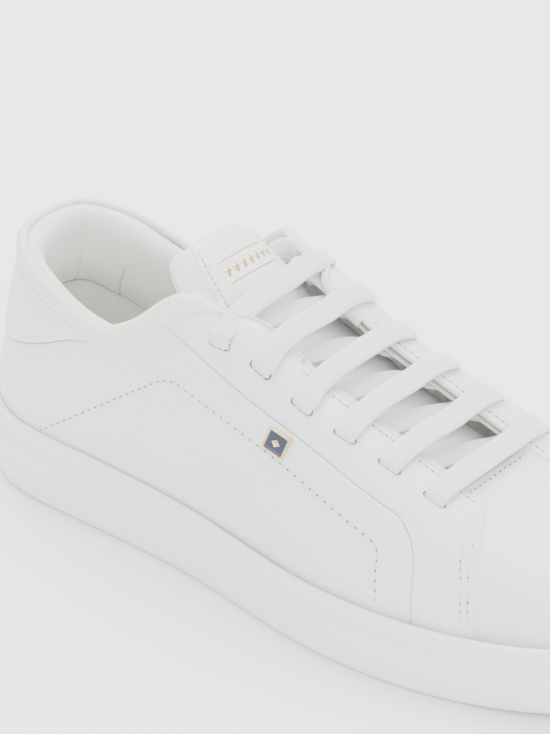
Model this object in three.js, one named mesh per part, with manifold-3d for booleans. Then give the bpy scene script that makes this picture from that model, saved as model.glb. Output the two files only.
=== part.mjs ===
// Right-foot court shoe, low cut, leather upper on a rubber cup sole, closed with flat laces.
// Millimetres, +X to the toe, +Y to the inner (medial) side of the foot, +Z up, sole on z = 0.
import * as THREE from 'three';
import { mergeVertices } from 'three/addons/utils/BufferGeometryUtils.js';
import Module from 'manifold-3d';

// ---------------------------------------------------------------- driving dimensions
const HEEL_X = 145.2;            // from the back of the heel to the frame's origin
const SIDE_SHIFT = 1.3;          // the outline's middle lies this far to the outer side of the heel line
const LIP = 24.5;                // height of the sole's edge under the ball of the foot
const HEEL_LIFT = 3.0;           // extra height of that edge at the heel
const TOE_SPRING = 8.0;          // rise of the sole under the tip of the toe
const SPRING_START = 200;        // where that rise begins, from the heel
const DEEP = 12;                 // how far the upper runs down inside the cup
const GAP = 0.3;                 // clearance between neighbouring pieces
const LEATHER = 1.3;             // thickness of the outer leathers
const LINING = 1.0;              // thickness of the linings
const LINING_DEPTH = 4.2;        // from the outer surface to the back of the lining
const FLOOR = 5.0;               // thickness of the cup's floor
const BINDING = 6.5;             // height of the binding over the leather at the topline
const PAD_IN = 8.5;              // from the outer surface to the back of the collar padding
const COLLAR_IN = 9.8;           // from the outer surface to the inside of the collar lining
const HALF_THROAT = 16.5;        // from the middle line to the edge of an eyestay
const SLOTS = 6;                 // lace slots on each side
const SLOT_FIRST = 113;          // first slot, from the heel
const SLOT_LAST = 193.5;         // last slot
const SLOT_OUT = 28;             // from the middle line to a slot
const SLOT_WIDE = 9.5;           // length of a slot along the throat
const SLOT_HIGH = 3.0;           // height of a slot
const LINING_SLOT = 6;           // the same slot through the linings, where the lace turns
const VAMP_BACK = 199;           // back edge of the vamp, from the heel
const LACE_WIDE = 8;             // flat lace
const LACE_THICK = 1.8;
const TONGUE_DROP = 8.4;         // from the outer surface down to the top of the tongue
const TONGUE_THICK = 6.2;        // shell, foam and lining together
const LABEL = 0.9;               // thickness of the patch on the tongue
const TONGUE_SEAM = [203, 42.5]; // where the tongue is sewn in, from the heel and above the ground
const TONGUE_SWING = 6;          // how far its free end can be pushed down, in degrees
const SWING_STEPS = 5;
const ROOM = 1.5;                // clearance over and under the moving tongue
const END_ROOM = 3;              // clearance behind its free end

// Stations round the last, from the middle of the heel along the outer side to the tip of the toe:
// feather line x, y; top x, half width, height; bulge of the side, its height; fullness, drop at the top.
const OUTER_SIDE = [
  [5, 0, 11, 0, 85, 5.5, 0.45, 0.2, 0.4],
  [9.5, -18, 15, 15.5, 84, 5.5, 0.45, 0.2, 0.4],
  [27, -30, 31, 27, 77, 4.5, 0.45, 0.2, 0.4],
  [53, -33, 57, 31, 68, 3.5, 0.45, 0.2, 0.36],
  [80, -34.5, 80, 32, 76, 3.5, 0.5, 0.4, 0.34],
  [106, -37, 97, 28.5, 90, 4, 0.66, 0.75, 0.2],
  [132, -42, 113, 10, 95.5, 4.5, 0.86, 0.6, 0.05],
  [158, -47, 131, 0, 87.5, 4.5, 0.9, 0.45, 0],
  [184, -48.5, 152, 0, 78.5, 5, 0.88, 0.45, 0],
  [208, -46, 172, 0, 69.5, 5, 0.85, 0.45, 0],
  [231, -40.3, 191, 0, 61, 5, 0.82, 0.5, 0],
  [253, -30.5, 208, 0, 55.5, 5.5, 0.78, 0.55, 0],
  [272.5, -15.5, 223, 0, 52.5, 6, 0.74, 0.6, 0],
  [285.5, 6, 232, 0, 51, 6, 0.72, 0.6, 0],
];
// Feather line of the inner side, from the toe back to the heel.
const INNER_SIDE = [
  [279, 27], [261, 39.5], [237, 45], [210, 45.5], [184, 42], [158, 38.5],
  [132, 35], [106, 33], [80, 32.5], [53, 32], [27, 29], [9.5, 17.5],
];

// ---------------------------------------------------------------- the last
const smooth = (u) => {
  const c = Math.min(1, Math.max(0, u));
  return c * c * (3 - 2 * c);
};
const ridgeY = (x) => 7 * smooth((x - 140) / 110);
const spring = (x) => TOE_SPRING * Math.min(1, Math.max(0, (x - SPRING_START) / 90)) ** 2;
const lift = (x) => HEEL_LIFT * (1 - smooth((x - 20) / 150)) + 0.9 * spring(x);
const lipZ = (x) => LIP + lift(x);

const TOE = OUTER_SIDE.length - 1;
const ROUND = 2 * TOE;
const stations = OUTER_SIDE.map((row) => {
  const full = [...row];
  full[3] = ridgeY(row[2]) - row[3];
  return full;
});
INNER_SIDE.forEach(([x, y], k) => {
  const row = OUTER_SIDE[TOE - 1 - k];
  const full = [...row];
  full[0] = x;
  full[1] = y;
  full[3] = ridgeY(row[2]) + row[3];
  stations.push(full);
});

// Slopes of a smooth closed spline through the stations.
const slopes = stations.map((row) => row.map(() => 0));
for (let pass = 0; pass < 60; pass += 1) {
  for (let i = 0; i < ROUND; i += 1) {
    const next = (i + 1) % ROUND;
    const last = (i + ROUND - 1) % ROUND;
    for (let k = 0; k < 9; k += 1) {
      const chord = 3 * (stations[next][k] - stations[last][k]);
      slopes[i][k] = (chord - slopes[last][k] - slopes[next][k]) / 4;
    }
  }
}

function station(theta) {
  const a = ((theta % ROUND) + ROUND) % ROUND;
  const i = Math.floor(a) % ROUND;
  const j = (i + 1) % ROUND;
  const f = a - Math.floor(a);
  const h00 = 2 * f ** 3 - 3 * f ** 2 + 1;
  const h10 = f ** 3 - 2 * f ** 2 + f;
  const h01 = 3 * f ** 2 - 2 * f ** 3;
  const h11 = f ** 3 - f ** 2;
  return stations[i].map((v, k) => h00 * v + h10 * slopes[i][k] + h01 * stations[j][k] + h11 * slopes[j][k]);
}

function outward(theta) {
  const [ax, ay] = station(theta - 0.05);
  const [bx, by] = station(theta + 0.05);
  const size = Math.hypot(bx - ax, by - ay);
  return [(by - ay) / size, -(bx - ax) / size];
}

const RIDGE_SLOPE = -0.42;       // fall of the instep towards the toe

const RIDGE_START = 7;           // from this station on, both sides meet on the middle line

// A point of the outer surface: theta runs round the foot, t from the feather line (0) to the top (1).
function surface(theta, t) {
  const [fx, fy, tx, ty, tz, bulge, bulgeAt, full, drop] = station(theta);
  const [nx, ny] = outward(theta);
  const z0 = lipZ(fx) - DEEP;
  const rise = tz - z0;
  const onRidge = 1 - smooth(Math.abs(ty - ridgeY(tx)) / 12);
  const dx = (fx - tx) * full;
  const dy = (fy - ty) * full;
  const p0 = [fx, fy, z0];
  const p1 = [fx + nx * bulge, fy + ny * bulge, z0 + bulgeAt * rise];
  const p2 = [tx + dx, ty + dy, tz - drop * rise + onRidge * RIDGE_SLOPE * dx];
  const p3 = [tx, ty, tz];
  const s = 1 - t;
  return p0.map((v, k) => s ** 3 * v + 3 * s * s * t * p1[k] + 3 * s * t * t * p2[k] + t ** 3 * p3[k]);
}

function normal(theta, t) {
  const e = 0.02;
  const up = new THREE.Vector3(...surface(theta, Math.min(1, t + e)));
  up.sub(new THREE.Vector3(...surface(theta, Math.max(0, t - e))));
  const along = new THREE.Vector3(...surface(theta + e, t));
  along.sub(new THREE.Vector3(...surface(theta - e, t)));
  return along.cross(up).normalize();
}

// The outer surface moved along its normal; on the ridge both sides share one normal.
function skin(theta, t, offset) {
  const n = normal(theta, t);
  if (t === 1 && theta > RIDGE_START && theta < ROUND - RIDGE_START) {
    n.add(normal(ROUND - theta, t)).normalize();
  }
  const p = surface(theta, t);
  return [p[0] + n.x * offset, p[1] + n.y * offset, p[2] + n.z * offset];
}

// ---------------------------------------------------------------- solids
const wasm = await Module();
wasm.setup();

function toManifold(geometry) {
  const plain = geometry.clone();
  plain.deleteAttribute('normal');
  plain.deleteAttribute('uv');
  const merged = mergeVertices(plain, 1e-4);
  return new wasm.Manifold(new wasm.Mesh({
    numProp: 3,
    vertProperties: new Float32Array(merged.attributes.position.array),
    triVerts: new Uint32Array(merged.index.array),
  }));
}

function toGeometry(solid) {
  const mesh = solid.getMesh();
  const geometry = new THREE.BufferGeometry();
  geometry.setAttribute('position', new THREE.Float32BufferAttribute(mesh.vertProperties, 3));
  geometry.setIndex(new THREE.Uint32BufferAttribute(mesh.triVerts, 1));
  return geometry;
}

function fromPoints(points, triangles) {
  const geometry = new THREE.BufferGeometry();
  geometry.setAttribute('position', new THREE.Float32BufferAttribute(points.flat(), 3));
  geometry.setIndex(triangles.flat());
  return geometry;
}

// A closed band of rings, with a strip across from side to side at its first and last ring.
function ringSolid(rings) {
  const n = rings[0].length;
  const triangles = [];
  for (let r = 0; r + 1 < rings.length; r += 1) {
    for (let i = 0; i < n; i += 1) {
      const j = (i + 1) % n;
      const a = r * n;
      const b = a + n;
      triangles.push([a + i, a + j, b + j], [a + i, b + j, b + i]);
    }
  }
  const top = (rings.length - 1) * n;
  for (let i = 0; i < n / 2; i += 1) {
    const a = i;
    const b = i + 1;
    const c = (n - b) % n;
    const d = (n - a) % n;
    if (a !== d) {
      triangles.push([d, b, a], [top + a, top + b, top + d]);
    }
    if (b !== c) {
      triangles.push([d, c, b], [top + d, top + b, top + c]);
    }
  }
  return fromPoints(rings.flat(), triangles);
}

const AROUND = 52;               // points in one ring of the outline

// One ring at a distance outside the feather line, at a height given by a function of x.
function outlineRing(outside, height) {
  const ring = [];
  for (let i = 0; i < AROUND; i += 1) {
    const theta = (i * ROUND) / AROUND;
    const [fx, fy] = station(theta);
    const [nx, ny] = outward(theta);
    ring.push([fx + nx * outside, fy + ny * outside, height(fx)]);
  }
  return ring;
}

// The whole last as one closed body, its surface moved by offset and its top rim lifted.
const UP_STEPS = 7;
const FINE = [0, 0.5, 1, 1.5, 2, 3, 4, 4.5, 5, 5.5, 6, 6.5, 7, 8, 9, 10, 11, 11.5, 12, 12.5];
const RING_AT = [...FINE, TOE, ...FINE.slice(1).reverse().map((v) => ROUND - v)];
function lastBody(offset, rimLift) {
  const points = [];
  const index = new Map();
  const put = (theta, j) => {
    const a = ((theta % ROUND) + ROUND) % ROUND;
    const onRidge = j === UP_STEPS && a >= RIDGE_START && a <= ROUND - RIDGE_START;
    const shared = onRidge ? Math.min(a, ROUND - a) : a;
    const key = `${shared}:${j}`;
    if (!index.has(key)) {
      const p = skin(shared, j / UP_STEPS, offset);
      if (onRidge) {
        p[1] = ridgeY(p[0]);
      }
      if (j === UP_STEPS && !onRidge) {
        p[2] += rimLift;
      }
      if (j === 0) {
        p[2] -= rimLift;
      }
      index.set(key, points.length);
      points.push(p);
    }
    return index.get(key);
  };
  const triangles = [];
  const add = (a, b, c) => {
    if (a !== b && b !== c && c !== a) {
      triangles.push([a, b, c]);
    }
  };
  RING_AT.forEach((theta, k) => {
    const next = RING_AT[(k + 1) % RING_AT.length];
    for (let j = 0; j < UP_STEPS; j += 1) {
      const a = put(theta, j);
      const b = put(next, j);
      const c = put(next, j + 1);
      const d = put(theta, j + 1);
      add(a, b, c);
      add(a, c, d);
    }
  });
  const floor = points.length;
  points.push([140, 0, LIP - DEEP + 1 - rimLift]);
  const roof = points.length;
  points.push([60, 0, 90 + rimLift]);
  RING_AT.forEach((theta, k) => {
    const next = RING_AT[(k + 1) % RING_AT.length];
    add(floor, put(next, 0), put(theta, 0));
    if (theta < RIDGE_START || theta >= ROUND - RIDGE_START) {
      add(roof, put(theta, UP_STEPS), put(next, UP_STEPS));
    }
  });
  return toManifold(fromPoints(points, triangles));
}

// The biggest of a solid's separate bodies: a cut can leave crumbs at its edge.
function whole(solid) {
  return solid.decompose().sort((a, b) => b.volume() - a.volume())[0];
}

// A layer of material between two depths under the outer surface.
function layer(outerDepth, innerDepth) {
  return lastBody(-outerDepth, 0).subtract(lastBody(-innerDepth, 6));
}

// A prism across the shoe, from a closed side-view outline in x and z.
const NEAR = -70;
const FAR = 70;
function sidePrism(outline) {
  const shape = new THREE.Shape(outline.map(([x, z]) => new THREE.Vector2(x, z)));
  const geometry = new THREE.ExtrudeGeometry(shape, { depth: FAR - NEAR, bevelEnabled: false });
  geometry.rotateX(Math.PI / 2);
  geometry.translate(0, FAR, 0);
  return toManifold(geometry);
}

// A prism straight up, from a closed plan outline in x and y.
function planPrism(outline) {
  const shape = new THREE.Shape(outline.map(([x, y]) => new THREE.Vector2(x, y)));
  const geometry = new THREE.ExtrudeGeometry(shape, { depth: 180, bevelEnabled: false });
  geometry.translate(0, 0, -20);
  return toManifold(geometry);
}

// Points of a smooth curve through a few given ones.
function curve(points, count) {
  const path = new THREE.SplineCurve(points.map(([x, z]) => new THREE.Vector2(x, z)));
  return path.getPoints(count).map((p) => [p.x, p.y]);
}

function move(points, dx, dz) {
  return points.map(([x, z]) => [x + dx, z + dz]);
}

// ---------------------------------------------------------------- seam lines
const TOPLINE = [[-12, 87], [11, 85], [15, 84], [31, 77], [57, 68], [80, 76], [97, 90], [111, 97]];
const topline = curve(TOPLINE, 40);
const leatherTop = move(topline, 0, -BINDING);
const over = (line, roof = 170) => [...line, [line[line.length - 1][0], roof], [line[0][0], roof]];

// Seam between quarter and eyestay panel: along the foot, round a corner and down to the sole.
const SEAM_BACK = [
  [76, 92], [90, 86], [110, 78.5], [128, 72], [157, 65.2], [182, 59.2],
  [190.5, 56.3], [196, 51], [198.5, 44], [199.5, 34], [200.5, 0],
];
const seam = [...curve(SEAM_BACK.slice(0, 10), 40), SEAM_BACK[10]];
const behindSeam = [...seam, [-40, 0], [-40, 92]];
// Front edge of the eyestay panel over the vamp.
const FRONT_EDGE = [[209, 80], [211.5, 62], [212.5, 52], [215.5, 42], [219, 30], [220, 0]];
const frontEdge = [...curve(FRONT_EDGE.slice(0, 5), 16), FRONT_EDGE[5]];
const behindFront = [[209, 170], ...frontEdge, [-40, 0], [-40, 170]];
// Lower edge of the padded heel patch.
const heelPatchEdge = curve([[-12, 51], [8, 51.5], [22, 53.5], [36, 57.5], [48, 61], [60, 61.5]], 16);

const bigBox = (x0, x1, y0, y1, z0, z1) => {
  const geometry = new THREE.BoxGeometry(x1 - x0, y1 - y0, z1 - z0);
  geometry.translate((x0 + x1) / 2, (y0 + y1) / 2, (z0 + z1) / 2);
  return toManifold(geometry);
};

// The middle line of the throat in plan, moved sideways.
const middle = (from, to, side) => {
  const line = [];
  for (let k = 0; k <= 20; k += 1) {
    const x = from + ((to - from) * k) / 20;
    line.push([x, ridgeY(x) + side]);
  }
  return line;
};
const halfPlan = (side, inner, outerY = 90) => {
  const line = middle(-40, 340, side * inner);
  return [...line, [340, side * outerY], [-40, side * outerY]];
};
const outerHalf = planPrism(halfPlan(-1, GAP / 2));
const innerHalf = planPrism(halfPlan(1, GAP / 2));
const grow = (line, d) => line.map(([x, z], i) => {
  const a = line[Math.max(0, i - 1)];
  const b = line[Math.min(line.length - 1, i + 1)];
  const size = Math.hypot(b[0] - a[0], b[1] - a[1]) || 1;
  return [x - ((b[1] - a[1]) / size) * d, z + ((b[0] - a[0]) / size) * d];
});

const group = new THREE.Group();
const solids = {};

// ---------------------------------------------------------------- sole unit
const ground = (h) => (x) => spring(x) + h;
const belowLip = (h) => (x) => lipZ(x) - h;
const CUP_PROFILE = [
  [0.4, ground(0)], [2.6, ground(0.5)], [3.9, ground(2.2)], [4.6, ground(6)],
  [4.9, belowLip(9.5)], [4.5, belowLip(7)], [3.9, belowLip(5.6)], [4.2, belowLip(4.7)],
  [4.9, belowLip(3.6)], [5, belowLip(2)], [4.3, belowLip(0.5)], [3, belowLip(0)],
  [1.4, belowLip(0.3)], [0.6, belowLip(1.5)], [0.6, ground(FLOOR)],
];
const cup = ringSolid(CUP_PROFILE.map(([outside, height]) => outlineRing(outside, height)));
solids.outsole_cup = toManifold(cup).subtract(lastBody(GAP, 6));

function plate(outside, low, high) {
  return toManifold(ringSolid([outlineRing(outside, low), outlineRing(outside, high)]));
}
solids.midsole_filler = plate(-GAP, ground(FLOOR + GAP), belowLip(DEEP + 0.5));
solids.strobel_board = plate(-6, belowLip(DEEP), belowLip(DEEP - 1.3));
solids.sockliner = plate(-6.4, belowLip(DEEP - 1.6), belowLip(DEEP - 5.4));

// ---------------------------------------------------------------- outer leathers
const leather = layer(0, LEATHER);
const quarterShape = (extra) => [...grow(seam, extra), ...behindSeam.slice(-2)];
const quarterArea = sidePrism(quarterShape(-GAP / 2));
const aboveLeather = sidePrism(over(move(leatherTop, 0, GAP / 2)));
const heelArea = sidePrism([...heelPatchEdge, [60, 130], [-12, 130]]);
const heelAreaWide = sidePrism([...move(heelPatchEdge, 0, -GAP), [60 + GAP, 130], [-12, 130]]);
const frontArea = sidePrism(behindFront);
const quarterAreaWide = sidePrism(quarterShape(GAP / 2));
const throatLong = planPrism([...middle(60, 245, -HALF_THROAT), ...middle(60, 245, HALF_THROAT).reverse()]);

// Places of the lace slots along the shoe, from the heel.
const slotSpots = [];
for (let k = 0; k < SLOTS; k += 1) {
  slotSpots.push(SLOT_FIRST + ((SLOT_LAST - SLOT_FIRST) * k) / (SLOTS - 1));
}

// The surface point over a place in plan, on the outer (-1) or inner (1) side.
function overPlan(x, y, side) {
  let low = 0.25;
  let high = 1;
  let theta = 3 + x / 22;
  let t = 0.7;
  for (let pass = 0; pass < 40; pass += 1) {
    const e = 0.001;
    const at = (a, b) => surface(side < 0 ? a : ROUND - a, b);
    const p = at(theta, t);
    const pa = at(theta + e, t);
    const pb = at(theta, t + e);
    const ax = (pa[0] - p[0]) / e;
    const ay = (pa[1] - p[1]) / e;
    const bx = (pb[0] - p[0]) / e;
    const by = (pb[1] - p[1]) / e;
    const det = ax * by - ay * bx;
    const rx = x - p[0];
    const ry = y - p[1];
    theta += 0.7 * ((rx * by - ry * bx) / det);
    t += 0.7 * ((ax * ry - ay * rx) / det);
    t = Math.min(high, Math.max(low, t));
  }
  return { theta: side < 0 ? theta : ROUND - theta, t };
}

function frameAt(x, side, out) {
  const y = ridgeY(x) + side * out;
  const { theta, t } = overPlan(x, y, side);
  const point = new THREE.Vector3(...surface(theta, t));
  const n = normal(theta, t);
  const ahead = overPlan(x + 1, ridgeY(x + 1) + side * out, side);
  const along = new THREE.Vector3(...surface(ahead.theta, ahead.t)).sub(point).normalize();
  const across = new THREE.Vector3().crossVectors(n, along).normalize();
  return { point, n, along, across, theta, t };
}

function boxAt(frame, long, wide, from, to) {
  const geometry = new THREE.BoxGeometry(long, wide, to - from);
  geometry.translate(0, 0, (from + to) / 2);
  const matrix = new THREE.Matrix4().makeBasis(frame.along, frame.across, frame.n);
  matrix.setPosition(frame.point);
  geometry.applyMatrix4(matrix);
  return toManifold(geometry);
}

function cutSlots(solid, side, high) {
  let result = solid;
  for (const x of slotSpots) {
    result = result.subtract(boxAt(frameAt(x, side, SLOT_OUT), SLOT_WIDE, high, -12, 6));
  }
  return result;
}

const sides = [['lateral', -1, outerHalf], ['medial', 1, innerHalf]];
for (const [name, side, half] of sides) {
  solids[`quarter_${name}`] = leather.intersect(half).intersect(quarterArea)
    .subtract(aboveLeather).subtract(heelAreaWide);
  const eyestay = leather.intersect(half).intersect(frontArea)
    .subtract(quarterAreaWide).subtract(aboveLeather).subtract(throatLong);
  solids[`eyestay_${name}`] = cutSlots(eyestay, side, SLOT_HIGH);
}
solids.heel_patch = leather.intersect(heelArea).subtract(aboveLeather);

// ---------------------------------------------------------------- inside the upper
const vampArea = bigBox(VAMP_BACK, 320, NEAR, FAR, -20, 120);
solids.vamp = layer(LEATHER + GAP, 2 * LEATHER + GAP).intersect(vampArea);
solids.toe_puff = layer(3.2, 3.9).intersect(bigBox(250, 320, NEAR, FAR, -20, 120));

const padTop = topline.filter(([x]) => x < 97);
const padLow = curve([[-12, 60], [15, 57], [34, 49], [57, 43], [80, 56], [92, 72], [99, 88]], 24);
const padArea = sidePrism([...padLow, ...move(padTop, 0, 3).reverse()]);
const belowPad = sidePrism([...move(padLow, 0, -GAP), [320, 88], [320, -20], [-12, -20]]);
const throatFill = planPrism([
  ...middle(60, VAMP_BACK, -HALF_THROAT - 1), ...middle(60, VAMP_BACK, HALF_THROAT + 1).reverse(),
]);
solids.collar_pad = layer(LEATHER + GAP, PAD_IN).intersect(padArea);
solids.collar_lining = layer(PAD_IN + GAP, COLLAR_IN).intersect(padArea);
const bindingFoot = move(leatherTop, 0, GAP / 2).filter(([x]) => x < 110);
const bindingStrip = sidePrism([...bindingFoot, [110, 170], [-12, 170]]);
solids.collar_binding = leather.intersect(bindingStrip).subtract(throatLong);

const counterArea = sidePrism([[-12, 54], [20, 50], [50, 37], [72, 24], [72, -20], [-12, -20]]);
solids.heel_counter = layer(LEATHER + GAP, 3.6).intersect(counterArea);
const interArea = sidePrism([[84, -20], [VAMP_BACK - GAP, -20], [VAMP_BACK - GAP, 150], [84, 150]]);
const quarterLining = layer(LINING_DEPTH, LINING_DEPTH + LINING).intersect(belowPad)
  .intersect(bigBox(-20, VAMP_BACK - GAP, NEAR, FAR, -20, 150)).subtract(throatFill).subtract(aboveLeather);
const interlining = layer(LEATHER + GAP, 3.9).intersect(belowPad).intersect(interArea)
  .subtract(throatFill).subtract(aboveLeather);
for (const [name, side, half] of sides) {
  solids[`lining_${name}`] = cutSlots(quarterLining.intersect(half), side, LINING_SLOT);
  solids[`interlining_${name}`] = cutSlots(interlining.intersect(half), side, LINING_SLOT);
}
solids.vamp_lining = layer(LINING_DEPTH, LINING_DEPTH + LINING).intersect(vampArea);

// ---------------------------------------------------------------- tongue
const TONGUE_LINE = [
  [203, 45.2], [186, 52.5], [165, 61.6], [140, 72.4], [118, 82.2], [101, 92.5], [84, 104.5],
];
const tonguePath = new THREE.SplineCurve(TONGUE_LINE.map(([x, z]) => new THREE.Vector2(x, z)));
const TONGUE_HALF = [20, 28];    // half width at the front and at the top
const TONGUE_CROWN = [2.5, 8];   // drop of its edges at the front and at the top
const TONGUE_ROLL = 4;           // at the top the outer edge stands this much higher, the inner edge lower

// A point over the tongue: s from the front to the top, q across, depth under its outer face.
function tonguePoint(s, q, depth) {
  const p = tonguePath.getPoint(s);
  const d = tonguePath.getTangent(s);
  const half = TONGUE_HALF[0] + (TONGUE_HALF[1] - TONGUE_HALF[0]) * smooth(s * 1.6);
  const crown = TONGUE_CROWN[0] + (TONGUE_CROWN[1] - TONGUE_CROWN[0]) * smooth(s * 1.3);
  const roll = TONGUE_ROLL * smooth((s - 0.6) / 0.4);
  const drop = crown * q * q + roll * q + depth;
  return [p.x - d.y * drop, ridgeY(p.x) + q * half, p.y + d.x * drop];
}

// A closed slab over a patch given by a function of two numbers from 0 to 1 and a depth.
function slab(place, columns, rows, outer, inner) {
  const points = [];
  for (const depth of [outer, inner]) {
    for (let j = 0; j <= rows; j += 1) {
      for (let i = 0; i <= columns; i += 1) {
        points.push(place(i / columns, j / rows, depth));
      }
    }
  }
  const wide = columns + 1;
  const layerSize = wide * (rows + 1);
  const triangles = [];
  const quad = (a, b, c, d) => triangles.push([a, b, c], [a, c, d]);
  for (let j = 0; j < rows; j += 1) {
    for (let i = 0; i < columns; i += 1) {
      const a = j * wide + i;
      quad(a, a + 1, a + wide + 1, a + wide);
      quad(layerSize + a, layerSize + a + wide, layerSize + a + wide + 1, layerSize + a + 1);
    }
  }
  const rim = [];
  for (let i = 0; i < columns; i += 1) {
    rim.push(i);
  }
  for (let j = 0; j < rows; j += 1) {
    rim.push(j * wide + columns);
  }
  for (let i = columns; i > 0; i -= 1) {
    rim.push(rows * wide + i);
  }
  for (let j = rows; j > 0; j -= 1) {
    rim.push(j * wide);
  }
  rim.forEach((a, k) => {
    const b = rim[(k + 1) % rim.length];
    quad(a, layerSize + a, layerSize + b, b);
  });
  return toManifold(fromPoints(points, triangles));
}

const tongueArea = (s0, s1, q0, q1) => (u, v, depth) => (
  tonguePoint(s0 + (s1 - s0) * v, q0 + (q1 - q0) * u, depth));
const belowTopline = sidePrism([...move(topline, 0, 0.5), [320, 100], [320, -20], [-12, -20]]);
const upperWall = layer(-GAP, TONGUE_DROP).intersect(belowTopline);
const FOAM_TOP = LEATHER + 2 * GAP;
const FOAM_FOOT = TONGUE_THICK - LINING - 2 * GAP;
solids.tongue_shell = slab(tongueArea(0, 1, -1, 1), 8, 11, 0, LEATHER);
solids.tongue_foam = slab(tongueArea(0.03, 0.985, -0.94, 0.94), 8, 10, FOAM_TOP, FOAM_FOOT);
solids.tongue_lining = slab(tongueArea(0, 1, -1, 1), 8, 11, TONGUE_THICK - LINING, TONGUE_THICK);
solids.tongue_label = slab(tongueArea(0.79, 0.99, -0.86, 0.86), 8, 4, -GAP - LABEL, -GAP);
for (const name of ['tongue_shell', 'tongue_foam', 'tongue_lining', 'tongue_label']) {
  solids[name] = solids[name].subtract(upperWall);
}

// The tongue swings down about its seam, and the ends of the collar padding leave it room.
function swung(place, degrees, back) {
  const angle = (degrees * Math.PI) / 180;
  return (u, v, depth) => {
    const [x, y, z] = place(u, v, depth);
    const dx = x - back - TONGUE_SEAM[0];
    const dz = z - TONGUE_SEAM[1];
    return [
      TONGUE_SEAM[0] + dx * Math.cos(angle) - dz * Math.sin(angle), y,
      TONGUE_SEAM[1] + dz * Math.cos(angle) + dx * Math.sin(angle),
    ];
  };
}
for (let step = 0; step <= SWING_STEPS; step += 1) {
  for (const back of [0, END_ROOM]) {
    const place = swung(tongueArea(0.3, 1, -1.05, 1.05), (TONGUE_SWING * step) / SWING_STEPS, back);
    const room = slab(place, 8, 8, -GAP - LABEL - ROOM, TONGUE_THICK + ROOM);
    solids.collar_pad = solids.collar_pad.subtract(room);
    solids.collar_lining = solids.collar_lining.subtract(room);
  }
}

// ---------------------------------------------------------------- badge on the outer quarter
const BADGE_SPOT = [147, 41.5];  // from the heel, and from the middle line
const BADGE_SIZE = [9.5, 6.8];
const badgeFrame = frameAt(BADGE_SPOT[0], -1, BADGE_SPOT[1] + ridgeY(BADGE_SPOT[0]));
solids.badge_plate = boxAt(badgeFrame, BADGE_SIZE[0], BADGE_SIZE[1], 0.4, 1.3);
solids.badge_enamel = boxAt(badgeFrame, BADGE_SIZE[0] - 1.4, BADGE_SIZE[1] - 1.4, 1.6, 2);

// ---------------------------------------------------------------- lace
const BAR_LIFT = LACE_THICK / 2 + 0.4;
const UNDER = LINING_DEPTH + LINING + LACE_THICK / 2 + 0.8;
const laceRoute = [];

// A place over or under the outer surface, out from the middle line, with the lace's width along the throat.
function lacePlace(x, side, out, height) {
  const f = frameAt(x, side, Math.max(out, 0.5));
  laceRoute.push({ p: f.point.clone().addScaledVector(f.n, height), w: f.along });
}

// Up or down through a slot, on a rounded path that starts and ends towards the middle line.
function throughSlot(x, side, up, ends) {
  const bend = [
    [SLOT_OUT - 3.2, -UNDER], [SLOT_OUT - 1, -UNDER + 0.3], [SLOT_OUT - 0.1, -UNDER + 1.6],
    [SLOT_OUT, -1.6], [SLOT_OUT - 0.1, -0.2], [SLOT_OUT - 1, BAR_LIFT - 0.3], [SLOT_OUT - 3.2, BAR_LIFT],
  ];
  const f = frameAt(x, side, SLOT_OUT);
  const inward = f.across.clone().multiplyScalar(f.across.y * side > 0 ? -1 : 1);
  const used = ends ? bend.slice(3) : bend;
  const order = up ? used : [...used].reverse();
  for (const [out, height] of order) {
    const p = f.point.clone().addScaledVector(f.n, height).addScaledVector(inward, SLOT_OUT - out);
    laceRoute.push({ p, w: f.along });
  }
}

// An end tucked down between the lining and the foot, from a slot: the lace's run and the tip's run.
const TUCK_STEPS = 11;
const LACE_STEPS = 8;
const tipRoutes = {};
function tuckedEnd(x, side, first) {
  const f = frameAt(x, side, SLOT_OUT);
  const inward = f.across.clone().multiplyScalar(f.across.y * side > 0 ? -1 : 1);
  const run = [
    { p: f.point.clone().addScaledVector(f.n, -UNDER + 1.8), w: f.along },
    { p: f.point.clone().addScaledVector(f.n, -UNDER).addScaledVector(inward, -0.4), w: f.along },
  ];
  for (let k = 1; k <= TUCK_STEPS; k += 1) {
    const t = f.t - 0.05 * k;
    const n = normal(f.theta, t);
    const p = new THREE.Vector3(...surface(f.theta, t)).addScaledVector(n, -UNDER - 0.4);
    run.push({ p, w: f.along });
  }
  const lace = run.slice(0, LACE_STEPS);
  const tip = run.slice(LACE_STEPS - 1);
  const gap = new THREE.Vector3().subVectors(tip[1].p, tip[0].p).setLength(GAP);
  tip[0] = { p: tip[0].p.clone().add(gap), w: tip[0].w };
  tipRoutes[side] = tip;
  laceRoute.push(...(first ? lace.reverse() : lace));
}

const ACROSS = [21, 16, 11, 5.5, 0.5];
const barHeight = (out) => BAR_LIFT + 0.6 * smooth((21 - out) / 12);
for (let k = 0; k < SLOTS; k += 1) {
  const x = slotSpots[k];
  if (k === 0) {
    tuckedEnd(x, 1, true);
  }
  throughSlot(x, 1, true, k === 0);
  ACROSS.forEach((out) => lacePlace(x, 1, out, barHeight(out)));
  [...ACROSS].reverse().slice(1).forEach((out) => lacePlace(x, -1, out, barHeight(out)));
  throughSlot(x, -1, false, k === SLOTS - 1);
  if (k < SLOTS - 1) {
    const next = slotSpots[k + 1];
    const run = [[-1, 21], [-1, 15], [-1, 8], [-1, 1], [1, 8], [1, 15], [1, 21]];
    run.forEach(([side, out]) => {
      const f = (side * out + SLOT_OUT) / (2 * SLOT_OUT);
      lacePlace(x + (next - x) * f, side, out, -UNDER + 1.6 * (1 - smooth((out - 6) / 10)));
    });
  } else {
    tuckedEnd(x, -1, false);
  }
}

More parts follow.
